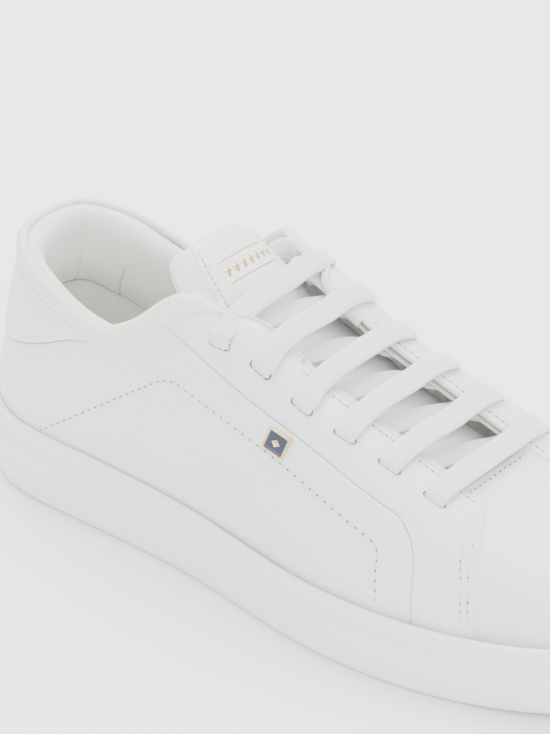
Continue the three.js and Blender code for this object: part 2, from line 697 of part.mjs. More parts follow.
// A flat band along a route of places with width directions.
function band(route, wide, thick) {
  const rings = route.map(({ p, w }, k) => {
    const a = route[Math.max(0, k - 1)].p;
    const b = route[Math.min(route.length - 1, k + 1)].p;
    const ahead = new THREE.Vector3().subVectors(b, a).normalize();
    const t = new THREE.Vector3().crossVectors(ahead, w).normalize().multiplyScalar(thick / 2);
    const half = w.clone().multiplyScalar(wide / 2);
    return [[1, 1], [-1, 1], [-1, -1], [1, -1]].map(([i, j]) => (
      p.clone().addScaledVector(half, i).addScaledVector(t, j).toArray()));
  });
  const triangles = [];
  const quad = (a, b, c, d) => triangles.push([a, b, c], [a, c, d]);
  for (let r = 0; r + 1 < rings.length; r += 1) {
    for (let i = 0; i < 4; i += 1) {
      const j = (i + 1) % 4;
      quad(4 * r + i, 4 * r + j, 4 * r + 4 + j, 4 * r + 4 + i);
    }
  }
  const end = 4 * (rings.length - 1);
  quad(3, 2, 1, 0);
  quad(end, end + 1, end + 2, end + 3);
  return toManifold(fromPoints(rings.flat(), triangles));
}
solids.lace = band(laceRoute, LACE_WIDE, LACE_THICK);
const laceRoom = band(laceRoute, LACE_WIDE + 2 * GAP, LACE_THICK + 2 * GAP);
solids.lining_lateral = solids.lining_lateral.subtract(laceRoom);
solids.lining_medial = solids.lining_medial.subtract(laceRoom);

solids.lace_tip_lateral = band(tipRoutes[-1], 3.4, 1.7);
solids.lace_tip_medial = band(tipRoutes[1], 3.4, 1.7);

// ---------------------------------------------------------------- materials
const MATERIALS = {
  white_leather: [0xf2f0f4, 0.5, 0],
  white_rubber: [0xeceaea, 0.6, 0],
  ivory_textile: [0xe9e4d8, 0.95, 0],
  white_lace: [0xf4f3f2, 0.9, 0],
  foam: [0xe6e0d0, 0.9, 0],
  board: [0xcfc4ad, 0.9, 0],
  gilt: [0xc9a25a, 0.3, 1],
  enamel: [0x20242c, 0.15, 0],
  clear_tip: [0xf0f0f0, 0.2, 0],
};
const FINISH = {
  outsole_cup: 'white_rubber', midsole_filler: 'foam', strobel_board: 'board', sockliner: 'ivory_textile',
  quarter_lateral: 'white_leather', quarter_medial: 'white_leather', eyestay_lateral: 'white_leather',
  eyestay_medial: 'white_leather', heel_patch: 'white_leather', vamp: 'white_leather', toe_puff: 'board',
  collar_pad: 'foam', collar_lining: 'ivory_textile', collar_binding: 'ivory_textile',
  heel_counter: 'board', lining_lateral: 'ivory_textile', lining_medial: 'ivory_textile',
  interlining_lateral: 'foam', interlining_medial: 'foam', vamp_lining: 'ivory_textile',
  tongue_shell: 'white_leather', tongue_foam: 'foam', tongue_lining: 'ivory_textile',
  tongue_label: 'white_leather', badge_plate: 'gilt', badge_enamel: 'enamel', lace: 'white_lace',
  lace_tip_medial: 'clear_tip', lace_tip_lateral: 'clear_tip',
};
for (const [name, solid] of Object.entries(solids)) {
  const [color, roughness, metalness] = MATERIALS[FINISH[name]];
  const geometry = toGeometry(whole(solid));
  geometry.translate(-HEEL_X, SIDE_SHIFT, 0);
  const mesh = new THREE.Mesh(geometry, new THREE.MeshStandardMaterial({ color, roughness, metalness }));
  mesh.name = name;
  group.add(mesh);
}

export default group;
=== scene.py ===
import math

import bmesh
import bpy
import numpy as np
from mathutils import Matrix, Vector
from mathutils.bvhtree import BVHTree


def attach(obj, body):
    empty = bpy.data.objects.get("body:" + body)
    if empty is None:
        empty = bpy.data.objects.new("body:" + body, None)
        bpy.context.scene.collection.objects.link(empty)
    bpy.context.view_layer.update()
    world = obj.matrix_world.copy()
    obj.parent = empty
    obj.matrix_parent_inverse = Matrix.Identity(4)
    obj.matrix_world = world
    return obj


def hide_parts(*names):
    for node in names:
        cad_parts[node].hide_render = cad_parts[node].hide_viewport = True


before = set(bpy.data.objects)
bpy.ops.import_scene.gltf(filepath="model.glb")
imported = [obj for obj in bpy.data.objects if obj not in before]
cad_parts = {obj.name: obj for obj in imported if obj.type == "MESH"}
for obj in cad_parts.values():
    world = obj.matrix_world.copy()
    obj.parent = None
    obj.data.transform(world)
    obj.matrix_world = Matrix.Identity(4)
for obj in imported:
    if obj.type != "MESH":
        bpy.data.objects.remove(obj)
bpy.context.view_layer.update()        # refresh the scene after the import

# ------------------------------------------------------------------ camera
# A long lens looks down on the outer side of the shoe, so the eyestay, the
# laces, the tongue and the open collar all show at once.
AZIMUTH = math.radians(38.0)
ELEVATION = math.radians(29.9)
DISTANCE = 1.5
LENS = 307
LOOK_AT = np.array([-0.0191, -0.0180, 0.0766])

back = np.array([
    math.sin(AZIMUTH) * math.cos(ELEVATION),
    -math.cos(AZIMUTH) * math.cos(ELEVATION),
    math.sin(ELEVATION),
])
camera = bpy.data.objects.new("camera", bpy.data.cameras.new("camera"))
bpy.context.collection.objects.link(camera)
camera.data.sensor_fit = "HORIZONTAL"
camera.data.sensor_width = 36
camera.data.lens = LENS
camera.location = LOOK_AT + back * DISTANCE
camera.rotation_euler = (math.pi / 2 - ELEVATION, 0, AZIMUTH)
bpy.context.scene.camera = camera

# ------------------------------------------------------------------ floor and light
# A plain white table under a big soft light from above, with a weaker fill
# from the camera's side.
FLOOR_SIZE = 6.0
bpy.ops.mesh.primitive_plane_add(size=FLOOR_SIZE, location=(0, 0, 0))
floor = bpy.context.object
floor.name = "floor"
floor_paint = bpy.data.materials.new("floor_paint")
floor_paint.use_nodes = True
floor_shader = floor_paint.node_tree.nodes["Principled BSDF"]
floor_shader.inputs["Base Color"].default_value = (0.93, 0.93, 0.935, 1)
floor_shader.inputs["Roughness"].default_value = 0.9
floor_shader.inputs["Specular IOR Level"].default_value = 0.1
floor.data.materials.append(floor_paint)

world = bpy.data.worlds.new("studio")
world.use_nodes = True
world.node_tree.nodes["Background"].inputs["Color"].default_value = (1, 1, 1, 1)
world.node_tree.nodes["Background"].inputs["Strength"].default_value = 2.2
bpy.context.scene.world = world


def softbox(name, place, size, power):
    light = bpy.data.lights.new(name, "AREA")
    light.size = size
    light.energy = power
    lamp = bpy.data.objects.new(name, light)
    lamp.location = place
    aim = -np.array(place) / np.linalg.norm(place)
    lamp.rotation_euler = (math.acos(-aim[2]), 0, math.atan2(aim[0], -aim[1]) + math.pi)
    bpy.context.collection.objects.link(lamp)


softbox("light_above", (-0.5, 0.6, 1.6), 1.4, 60)
softbox("light_side", (1.3, -1.2, 1.2), 1.2, 24)

# ------------------------------------------------------------------ cup sole
# One moulding of white rubber: a wall with a rounded bead along its lip and a
# shoulder under it, and a flat tread with sipes in a herringbone. The upper
# is glued down inside it.
HEEL_X = 145.2           # millimetres from the back of the heel to the frame's origin
SIDE_SHIFT = 1.3
LIP = 24.5
HEEL_LIFT = 3.0
TOE_SPRING = 8.0
SPRING_START = 200
RUBBER_WHITE = (0.80, 0.80, 0.815)

# Stations from the middle of the heel along the outer side to the toe: feather line
# x, y; top x, half width, height; bulge of the side, its height; fullness, drop at the top.
OUTER_SIDE = [
    (5, 0, 11, 0, 86.5, 5.5, 0.45, 0.2, 0.4),
    (9.5, -18, 15, 15.5, 86, 5.5, 0.45, 0.2, 0.4),
    (27, -30, 31, 27, 81.5, 4.5, 0.45, 0.2, 0.4),
    (53, -33, 57, 31, 72.5, 3.5, 0.45, 0.2, 0.36),
    (80, -34.5, 80, 32, 81, 3.5, 0.5, 0.4, 0.34),
    (106, -37, 97, 28.5, 95, 4, 0.66, 0.75, 0.2),
    (132, -42, 113, 10, 97, 4.5, 0.86, 0.6, 0.05),
    (158, -47, 131, 0, 87.5, 4.5, 0.9, 0.45, 0),
    (184, -48.5, 152, 0, 78.5, 5, 0.88, 0.45, 0),
    (208, -46, 172, 0, 69.5, 5, 0.85, 0.45, 0),
    (231, -40.3, 191, 0, 61, 5, 0.82, 0.5, 0),
    (253, -30.5, 208, 0, 55.5, 5.5, 0.78, 0.55, 0),
    (272.5, -15.5, 223, 0, 52.5, 6, 0.74, 0.6, 0),
    (285.5, 6, 232, 0, 51, 6, 0.72, 0.6, 0),
]
# Feather line of the inner side, from the toe back to the heel.
INNER_SIDE = [
    (279, 27), (261, 39.5), (237, 45), (210, 45.5), (184, 42), (158, 38.5),
    (132, 35), (106, 33), (80, 32.5), (53, 32), (27, 29), (9.5, 17.5),
]
TOE = len(OUTER_SIDE) - 1
ROUND = 2 * TOE


def smooth(u):
    u = np.clip(u, 0, 1)
    return u * u * (3 - 2 * u)


def ridge_y(x):
    return 7 * smooth((np.asarray(x, float) - 140) / 110)


def spring(x):
    return TOE_SPRING * np.clip((np.asarray(x, float) - SPRING_START) / 90, 0, 1) ** 2


def lip_z(x):
    return LIP + HEEL_LIFT * (1 - smooth((np.asarray(x, float) - 20) / 150)) + 0.9 * spring(x)


def station_table():
    rows = [list(row) for row in OUTER_SIDE]
    for row in rows:
        row[3] = float(ridge_y(row[2])) - row[3]
    for k, (x, y) in enumerate(INNER_SIDE):
        row = list(OUTER_SIDE[TOE - 1 - k])
        row[3] = float(ridge_y(row[2])) + row[3]
        rows.append([x, y] + row[2:])
    return np.array(rows, float)


STATIONS = station_table()
SLOPES = np.zeros_like(STATIONS)
for sweep in range(60):
    ahead = np.roll(STATIONS, -1, 0) - np.roll(STATIONS, 1, 0)
    SLOPES = (3 * ahead - np.roll(SLOPES, 1, 0) - np.roll(SLOPES, -1, 0)) / 4


def station(theta):
    theta = np.asarray(theta, float) % ROUND
    i = np.floor(theta).astype(int) % ROUND
    j = (i + 1) % ROUND
    f = (theta - np.floor(theta))[..., None]
    hold = (2 * f**3 - 3 * f**2 + 1) * STATIONS[i] + (f**3 - 2 * f**2 + f) * SLOPES[i]
    return hold + (3 * f**2 - 2 * f**3) * STATIONS[j] + (f**3 - f**2) * SLOPES[j]


def outward(theta):
    a = station(np.asarray(theta) - 0.05)
    b = station(np.asarray(theta) + 0.05)
    n = np.stack([b[..., 1] - a[..., 1], a[..., 0] - b[..., 0]], -1)
    return n / np.linalg.norm(n, axis=-1, keepdims=True)


def outline(theta, outside, height):
    s = station(theta)
    n = outward(theta)
    x = s[..., 0] + n[..., 0] * outside
    y = s[..., 1] + n[..., 1] * outside
    return np.stack([x, y, height(s[..., 0])], -1)


def in_frame(points):
    """Millimetres from the heel's back to metres in the shoe's own frame."""
    return (np.asarray(points, float) + (-HEEL_X, SIDE_SHIFT, 0)) / 1000


def piece(name, points, faces, material, body="shoe", stands_for=(), crease=None):
    """A mesh piece from millimetre points, riding on a body of the frame."""
    mesh = bpy.data.meshes.new(name)
    mesh.from_pydata(in_frame(points).tolist(), [], [tuple(int(i) for i in f) for f in faces])
    mesh.validate()
    mesh.polygons.foreach_set("use_smooth", [True] * len(mesh.polygons))
    if crease is not None:
        mesh.set_sharp_from_angle(angle=math.radians(crease))
    thing = bpy.data.objects.new(name, mesh)
    bpy.context.collection.objects.link(thing)
    mesh.materials.append(material)
    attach(thing, body)
    if stands_for:
        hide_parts(*stands_for)
    return thing


def node_group(name, inputs, outputs):
    """An empty shader group with named sockets."""
    group = bpy.data.node_groups.new(name, "ShaderNodeTree")
    for label, kind, value in inputs:
        socket = group.interface.new_socket(name=label, in_out="INPUT", socket_type=kind)
        if value is not None:
            socket.default_value = value
    for label, kind in outputs:
        group.interface.new_socket(name=label, in_out="OUTPUT", socket_type=kind)
    return group, group.nodes.new("NodeGroupInput"), group.nodes.new("NodeGroupOutput")


def wire(tree, a, out, b, into):
    tree.links.new(a.outputs[out], b.inputs[into])


def add_node(tree, kind, **values):
    node = tree.nodes.new(kind)
    for key, value in values.items():
        if key in node.inputs.keys():
            node.inputs[key].default_value = value
        else:
            setattr(node, key, value)
    return node


def blank_material(name, color, rough, **values):
    material = bpy.data.materials.new(name)
    material.use_nodes = True
    shader = material.node_tree.nodes["Principled BSDF"]
    shader.inputs["Base Color"].default_value = (*color, 1)
    shader.inputs["Roughness"].default_value = rough
    for key, value in values.items():
        shader.inputs[key.replace("_", " ")].default_value = value
    return material, material.node_tree, shader


# Cloudy handling marks: a slow change of tone and gloss that every finish gets.
def handling_group():
    group, enter, leave = node_group(
        "handling",
        [("Color", "NodeSocketColor", (1, 1, 1, 1)), ("Tone", "NodeSocketFloat", 0.03),
         ("Rough", "NodeSocketFloat", 0.5), ("Size", "NodeSocketFloat", 30.0)],
        [("Color", "NodeSocketColor"), ("Rough", "NodeSocketFloat")],
    )
    place = add_node(group, "ShaderNodeTexCoord")
    cloud = add_node(group, "ShaderNodeTexNoise", Detail=4.0, Roughness=0.6)
    wire(group, place, "Object", cloud, "Vector")
    wire(group, enter, "Size", cloud, "Scale")
    centred = add_node(group, "ShaderNodeMath", operation="SUBTRACT")
    centred.inputs[1].default_value = 0.5
    wire(group, cloud, "Fac", centred, 0)
    tone = add_node(group, "ShaderNodeMath", operation="MULTIPLY_ADD")
    wire(group, centred, 0, tone, 0)
    wire(group, enter, "Tone", tone, 1)
    tone.inputs[2].default_value = 1.0
    tint = add_node(group, "ShaderNodeVectorMath", operation="SCALE")
    wire(group, enter, "Color", tint, 0)
    wire(group, tone, 0, tint, "Scale")
    wire(group, tint, 0, leave, "Color")
    rough = add_node(group, "ShaderNodeMath", operation="MULTIPLY_ADD")
    wire(group, centred, 0, rough, 0)
    rough.inputs[1].default_value = 0.25
    wire(group, enter, "Rough", rough, 2)
    wire(group, rough, 0, leave, "Rough")
    return group


HANDLING = handling_group()


def handled(tree, shader, color, rough, tone, size):
    """Feeds a shader's colour and roughness through the handling group."""
    node = tree.nodes.new("ShaderNodeGroup")
    node.node_tree = HANDLING
    node.inputs["Color"].default_value = (*color, 1)
    node.inputs["Tone"].default_value = tone
    node.inputs["Rough"].default_value = rough
    node.inputs["Size"].default_value = size
    wire(tree, node, "Color", shader, "Base Color")
    wire(tree, node, "Rough", shader, "Roughness")
    return node


def bump_from(tree, shader, source, output, strength, distance):
    bump = add_node(tree, "ShaderNodeBump", Strength=strength, Distance=distance)
    wire(tree, source, output, bump, "Height")
    wire(tree, bump, "Normal", shader, "Normal")
    return bump


def rubber_material():
    material, tree, shader = blank_material("sole_rubber", RUBBER_WHITE, 0.55)
    handled(tree, shader, RUBBER_WHITE, 0.52, 0.05, 25.0)
    place = add_node(tree, "ShaderNodeTexCoord")
    fine = add_node(tree, "ShaderNodeTexNoise", Scale=2600.0, Detail=2.0)
    wire(tree, place, "Object", fine, "Vector")
    bump_from(tree, shader, fine, "Fac", 0.12, 0.0001)
    return material


def above_ground(h):
    return lambda x: spring(x) + h


def below_lip(h):
    return lambda x: lip_z(x) - h


WALL_PROFILE = [
    (0.9, above_ground(0.0)), (2.2, above_ground(0.35)), (3.2, above_ground(1.2)), (3.8, above_ground(2.6)),
    (4.15, above_ground(5.0)), (4.4, above_ground(8.0)), (4.6, below_lip(13.5)), (4.7, below_lip(11.5)),
    (4.62, below_lip(10.0)), (4.3, below_lip(8.7)), (3.75, below_lip(7.6)), (3.2, below_lip(6.8)),
    (2.95, below_lip(6.2)), (2.95, below_lip(5.75)), (3.3, below_lip(5.35)), (3.95, below_lip(4.9)),
    (4.5, below_lip(4.2)), (4.8, below_lip(3.3)), (4.85, below_lip(2.4)), (4.65, below_lip(1.5)),
    (4.2, below_lip(0.75)), (3.5, below_lip(0.25)), (2.7, below_lip(0.05)), (1.9, below_lip(0.25)),
    (1.35, below_lip(0.8)), (1.1, below_lip(1.8)), (0.9, below_lip(5.0)), (0.6, below_lip(11.0)),
    (0.6, above_ground(5.0)),
]
RING = 520
TREAD_ACROSS = 84
TREAD_DEPTH = 1.3
TREAD_PITCH = 6.0
TREAD_EDGE = 7.0
theta_ring = np.arange(RING) * ROUND / RING
wall = np.stack([outline(theta_ring, out, height) for out, height in WALL_PROFILE])


def strip_across(ring, columns, lift):
    """Points and faces that close a ring from side to side, following the toe spring."""
    half = len(ring) // 2
    points = []
    faces = []
    w = np.linspace(0, 1, columns + 1)[1:-1]
    index = {}

    def at(i, j):
        if j == 0 or i in (0, half):
            return i % len(ring)
        if j == columns:
            return (len(ring) - i) % len(ring)
        return index[(i, j)]

    for i in range(1, half):
        a, b = ring[i], ring[len(ring) - i]
        row = a + (b - a) * w[:, None]
        row[:, 2] = lift(row[:, 0], row[:, 1], w * np.linalg.norm(b - a), i)
        for j in range(1, columns):
            index[(i, j)] = len(ring) + len(points)
            points.append(row[j - 1])
    for i in range(half):
        for j in range(columns):
            face = []
            for corner in (at(i, j), at(i, j + 1), at(i + 1, j + 1), at(i + 1, j)):
                if corner not in face:
                    face.append(corner)
            if len(face) > 2:
                faces.append(face)
    return np.array(points), faces


def tread(x, y, along, i):
    """Height of the tread: herringbone sipes, kept clear of the sole's edge."""
    zigzag = np.abs((y / 14.0) % 2 - 1) * 9.0
    phase = ((x + zigzag) / TREAD_PITCH) % 1
    groove = smooth((0.22 - np.abs(phase - 0.5)) / 0.08 + 0.5)
    width = along[-1] + along[0]
    inside = np.minimum(along, width - along)
    edge = smooth((inside - TREAD_EDGE) / 1.5) * float(smooth((min(i, RING // 2 - i) - 8) / 3))
    return spring(x) + TREAD_DEPTH * groove * edge


def closed_cup():
    rings, count = wall.shape[0], wall.shape[1]
    points = wall.reshape(-1, 3)
    faces = []
    for r in range(rings - 1):
        for i in range(count):
            j = (i + 1) % count
            faces.append((r * count + i, r * count + j, (r + 1) * count + j, (r + 1) * count + i))
    under, under_faces = strip_across(wall[0], TREAD_ACROSS, tread)
    base = len(points)
    faces += [[v if v < count else v - count + base for v in f] for f in under_faces]
    points = np.vstack([points, under])
    base = len(points)
    top = (rings - 1) * count
    inside, inside_faces = strip_across(wall[-1], 12, lambda x, y, along, i: spring(x) + 5.0)
    faces += [[v + top if v < count else v - count + base for v in reversed(f)] for f in inside_faces]
    return np.vstack([points, inside]), faces


cup_points, cup_faces = closed_cup()
RUBBER = rubber_material()
piece("cup_sole", cup_points, cup_faces, RUBBER, stands_for=["outsole_cup"], crease=50)

# ------------------------------------------------------------------ inner boards and foam
# What is shut inside the sole and upper: the foam filler in the cup, the board the
# upper is lasted on, the stiffeners of heel and toe and the backing of the quarters.
FOAM_CREAM = (0.78, 0.73, 0.62)
BOARD_TAN = (0.62, 0.54, 0.42)


def foam_material():
    material, tree, shader = blank_material("foam_cream", FOAM_CREAM, 0.9)
    handled(tree, shader, FOAM_CREAM, 0.88, 0.08, 60.0)
    place = add_node(tree, "ShaderNodeTexCoord")
    cells = add_node(tree, "ShaderNodeTexVoronoi", Scale=1400.0)
    wire(tree, place, "Object", cells, "Vector")
    bump_from(tree, shader, cells, "Distance", 0.5, 0.0003)
    return material


def board_material():
    material, tree, shader = blank_material("fibre_board", BOARD_TAN, 0.85)
    handled(tree, shader, BOARD_TAN, 0.85, 0.12, 90.0)
    place = add_node(tree, "ShaderNodeTexCoord")
    fibres = add_node(tree, "ShaderNodeTexNoise", Scale=900.0, Detail=5.0, Distortion=1.5)
    wire(tree, place, "Object", fibres, "Vector")
    bump_from(tree, shader, fibres, "Fac", 0.4, 0.0002)
    return material


FOAM = foam_material()
BOARD = board_material()
for node, finish in [
    ("midsole_filler", FOAM), ("strobel_board", BOARD), ("toe_puff", BOARD), ("heel_counter", BOARD),
    ("interlining_lateral", FOAM), ("interlining_medial", FOAM),
]:
    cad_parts[node].data.materials.clear()
    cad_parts[node].data.materials.append(finish)

# ------------------------------------------------------------------ quarters
# The two side panels of white leather, cut to run from the heel seam to the corner
# of the eyestay, with their edges turned under along the seam.
DEEP = 12                # how far the upper runs down inside the cup
LEATHER = 1.3
RIDGE_SLOPE = -0.42
BINDING = 5.0            # height of the binding above the leather
LEATHER_WHITE = (0.79, 0.775, 0.815)
TOPLINE = [
    (-12, 88), (11, 86.5), (15, 86), (31, 81), (44, 76.5), (57, 72.5), (66, 73), (80, 81), (97, 95.5),
    (111, 98),
]
SEAM = [(82, 89.5), (98, 82.5), (130, 73.5), (184, 57), (192.5, 53), (198, 47), (200.5, 38), (201.5, 10)]
SEAM_CORNER = (195.5, 50.5)
HEEL_PATCH_EDGE = [(4, 51.4), (12, 51.8), (22, 53.5), (36, 58.5), (48, 64), (60, 67.2)]
THROAT_SHIFT = -4.0      # the throat lies a little to the outer side of the ridge


def surface(theta, t):
    """The upper's outer surface: theta runs round the foot, t from the feather line to the top."""
    theta, t = np.broadcast_arrays(np.asarray(theta, float), np.asarray(t, float))
    s = station(theta)
    n = outward(theta)
    fx, fy, tx, ty, tz, bulge, bulge_at, full, drop = [s[..., k] for k in range(9)]
    z0 = lip_z(fx) - DEEP
    rise = tz - z0
    on_ridge = 1 - smooth(np.abs(ty - ridge_y(tx)) / 12)
    dx = (fx - tx) * full
    p0 = np.stack([fx, fy, z0], -1)
    p1 = np.stack([fx + n[..., 0] * bulge, fy + n[..., 1] * bulge, z0 + bulge_at * rise], -1)
    p2 = np.stack([tx + dx, ty + (fy - ty) * full, tz - drop * rise + on_ridge * RIDGE_SLOPE * dx], -1)
    p3 = np.stack([tx, ty, tz], -1)
    t = t[..., None]
    return (1 - t)**3 * p0 + 3 * (1 - t)**2 * t * p1 + 3 * (1 - t) * t**2 * p2 + t**3 * p3


def normal(theta, t):
    e = 0.02
    up = surface(theta, np.minimum(1, t + e)) - surface(theta, np.maximum(0, t - e))
    along = surface(theta + e, t) - surface(theta - e, t)
    n = np.cross(along, up)
    return n / np.maximum(np.linalg.norm(n, axis=-1, keepdims=True), 1e-9)


def spline(points, count):
    """A smooth curve through a few points, at even steps along it."""
    p = np.array(points, float)
    p = np.vstack([2 * p[0] - p[1], p, 2 * p[-1] - p[-2]])
    u = np.linspace(0, len(p) - 3 - 1e-9, 40 * (len(p) - 3))
    i = u.astype(int)
    f = (u - i)[:, None]
    a, b, c, d = p[i], p[i + 1], p[i + 2], p[i + 3]
    fine = 0.5 * (2 * b + (c - a) * f + (2 * a - 5 * b + 4 * c - d) * f**2 + (3 * b - a - 3 * c + d) * f**3)
    return resample(fine, count)


def lengths(points):
    step = np.linalg.norm(np.diff(points, axis=0), axis=1)
    return np.concatenate([[0], np.cumsum(step)])


def resample(points, count):
    """The same path with points at even steps, or at the given shares of its length."""
    points = np.asarray(points, float)
    run = lengths(points)
    at = np.linspace(0, 1, count) if np.isscalar(count) else np.asarray(count)
    return np.stack([np.interp(at * run[-1], run, points[:, k]) for k in range(points.shape[1])], -1)


def on_side(theta, side):
    """The station counted from the heel along the outer (-1) or the inner (1) side."""
    return theta if side < 0 else ROUND - theta


def newton(view, target, theta, t, side):
    """The place (theta, t) whose point, seen along one axis, is the target."""
    for sweep in range(30):
        e = 1e-3
        p = surface(on_side(theta, side), t)[..., view]
        a = (surface(on_side(theta + e, side), t)[..., view] - p) / e
        b = (surface(on_side(theta, side), t + e)[..., view] - p) / e
        det = a[..., 0] * b[..., 1] - a[..., 1] * b[..., 0]
        r = target - p
        theta = np.clip(theta + 0.6 * (r[..., 0] * b[..., 1] - r[..., 1] * b[..., 0]) / det, 0, TOE - 1)
        t = np.clip(t + 0.6 * (a[..., 0] * r[..., 1] - a[..., 1] * r[..., 0]) / det, 0, 1)
    return theta, t


def from_side(points, side):
    """Places on one side of the upper for points of the side view (x, z)."""
    points = np.asarray(points, float)
    x, z = points[:, 0], points[:, 1]
    line = np.linspace(0, TOE, 400)
    s = station(on_side(line, side))
    guess = np.interp(x, s[:, 0], line)
    z0 = lip_z(x) - DEEP
    top = np.interp(guess, line, s[:, 4])
    theta, t = newton([0, 2], points, guess, np.clip((z - z0) / (top - z0), 0.02, 0.95), side)
    return np.stack([on_side(theta, side), t], -1)


def middle_y(x):
    """The middle line of the throat, in plan."""
    return ridge_y(x) + THROAT_SHIFT


def from_plan(x, out, side):
    """Places on one side that lie this far out from the throat's middle line in plan."""
    x, out = np.broadcast_arrays(np.asarray(x, float), np.asarray(out, float))
    target = np.stack([x, middle_y(x) + side * out], -1)
    found = []
    for half in (-1, 1):
        theta, t = newton([0, 1], target, 3 + x / 22, np.full(x.shape, 0.7), half)
        found.append(np.stack([on_side(theta, half), t], -1))
    return np.where((target[..., 1] < ridge_y(x))[..., None], found[0], found[1])


def shares(length, step, edge=(0.25, 0.6, 1.2)):
    """Shares of a length at even steps, with closer ones by both ends for a turned edge."""
    fine = np.array(edge) / length
    inner = np.linspace(fine[-1], 1 - fine[-1], max(3, int(length / step)))
    return np.concatenate([[0], fine[:-1], inner, 1 - fine[:-1][::-1], [1]])


def edge_distance(points):
    """Distance of each grid point from the nearest border of its patch."""
    rows = np.linalg.norm(np.diff(points, axis=1), axis=2)
    cols = np.linalg.norm(np.diff(points, axis=0), axis=2)
    u = np.concatenate([np.zeros((len(points), 1)), np.cumsum(rows, 1)], 1)
    v = np.concatenate([np.zeros((1, points.shape[1])), np.cumsum(cols, 0)], 0)
    return u, u[:, -1:] - u, v, v[-1:] - v


def rolled(distance, radius):
    short = np.clip(radius - distance, 0, radius)
    return radius - np.sqrt(radius**2 - short**2)


def slab_faces(rows, columns, flip):
    """Faces of a closed slab made of an outer and an inner grid."""
    grid = np.arange(rows * columns).reshape(rows, columns)
    low = grid + rows * columns
    a, b, c, d = grid[:-1, :-1], grid[:-1, 1:], grid[1:, 1:], grid[1:, :-1]
    outer = np.stack([a, b, c, d], -1).reshape(-1, 4)
    a, b, c, d = low[:-1, :-1], low[1:, :-1], low[1:, 1:], low[:-1, 1:]
    inner = np.stack([a, b, c, d], -1).reshape(-1, 4)
    rim = np.concatenate([grid[0, :-1], grid[:-1, -1], grid[-1, :0:-1], grid[:0:-1, 0]])
    after = np.roll(rim, -1)
    wall_faces = np.stack([rim, rim + rows * columns, after + rows * columns, after], -1)
    faces = np.vstack([outer, inner, wall_faces])
    return faces[:, ::-1] if flip else faces


def shell(places, depth, thick, roll=0.6, puff=0.0, puff_reach=6.0, open_edges=()):
    """A panel over a grid of places: points and faces of a slab with rounded, tucked edges."""
    flat = surface(places[..., 0], places[..., 1])
    n = normal(places[..., 0], places[..., 1])
    sides = edge_distance(flat)
    names = ("left", "right", "bottom", "top")
    near = np.min([d for d, name in zip(sides, names) if name not in open_edges], axis=0)
    fall = rolled(near, roll) + puff * np.exp(-((near / puff_reach) ** 2))
    outer = flat - n * (depth + fall)[..., None]
    inner = flat - n * (depth + thick + puff * np.exp(-((near / puff_reach) ** 2)))[..., None]
    points = np.concatenate([outer.reshape(-1, 3), inner.reshape(-1, 3)])
    flip = np.sum(np.cross(flat[1, 1] - flat[0, 1], flat[1, 1] - flat[1, 0]) * n[1, 1]) > 0
    return points, slab_faces(places.shape[0], places.shape[1], flip)


def leather_group():
    """Fine pebble and pores of a smooth finished hide, as one height."""
    group, enter, leave = node_group(
        "leather_grain",
        [("Pebble", "NodeSocketFloat", 620.0), ("Pore", "NodeSocketFloat", 1500.0)],
        [("Height", "NodeSocketFloat")],
    )
    place = add_node(group, "ShaderNodeTexCoord")
    pebble = add_node(group, "ShaderNodeTexVoronoi", feature="SMOOTH_F1", Smoothness=0.7)
    wire(group, place, "Object", pebble, "Vector")
    wire(group, enter, "Pebble", pebble, "Scale")
    pore = add_node(group, "ShaderNodeTexNoise", Detail=3.0)
    wire(group, place, "Object", pore, "Vector")
    wire(group, enter, "Pore", pore, "Scale")
    mix = add_node(group, "ShaderNodeMath", operation="MULTIPLY_ADD")
    wire(group, pore, "Fac", mix, 0)
    mix.inputs[1].default_value = 0.35
    wire(group, pebble, "Distance", mix, 2)
    wire(group, mix, 0, leave, "Height")
    return group


LEATHER_GRAIN = leather_group()


def leather_material(name, color, rough, strength=0.22):
    material, tree, shader = blank_material(
        name, color, rough, Coat_Weight=0.12, Coat_Roughness=0.35, Specular_IOR_Level=0.45)
    handled(tree, shader, color, rough, 0.035, 22.0)
    grain = tree.nodes.new("ShaderNodeGroup")
    grain.node_tree = LEATHER_GRAIN
    bump_from(tree, shader, grain, "Height", strength, 0.00025)
    return material


WHITE_LEATHER = leather_material("upper_leather", LEATHER_WHITE, 0.46)
SIDE = {"lateral": -1, "medial": 1}

seam_line = spline(SEAM, 260)
topline = spline(TOPLINE, 260)
leather_top = topline - (0, BINDING)
heel_edge = spline(HEEL_PATCH_EDGE, 60)
top_over_seam = np.interp(seam_line[:80, 0], leather_top[:, 0], leather_top[:, 1])
gap_at = np.argmin(np.abs(top_over_seam - seam_line[:80, 1]))
after_heel = leather_top[:, 0] > heel_edge[-1, 0] + 0.5
collar_part = leather_top[after_heel & (leather_top[:, 0] < seam_line[gap_at, 0])]
corner_at = np.argmin(np.linalg.norm(seam_line - SEAM_CORNER, axis=1))
quarter_top = np.vstack([heel_edge, collar_part, seam_line[gap_at:corner_at + 1]])
quarter_front = seam_line[corner_at:][::-1]


def quarter_places(side):
    top = from_side(resample(quarter_top, 200), side)
    top[0, 0] = on_side(0.02, side)
    front = from_side(resample(quarter_front, 60), side)
    top_points = surface(top[:, 0], top[:, 1])
    across = shares(lengths(top_points)[-1], 2.4)
    up = shares(62, 2.4)
    top = resample_places(top, across)
    right = resample_places(front, up)
    right[0, 1] = 0.0
    bottom = np.stack([np.linspace(top[0, 0], right[0, 0], len(across)), np.zeros(len(across))], -1)
    left = np.stack([np.full(len(up), on_side(0.02, side)), top[0, 1] * up], -1)
    bottom = resample_places(bottom, across)
    return coons_by(bottom, top, left, right, across, up)


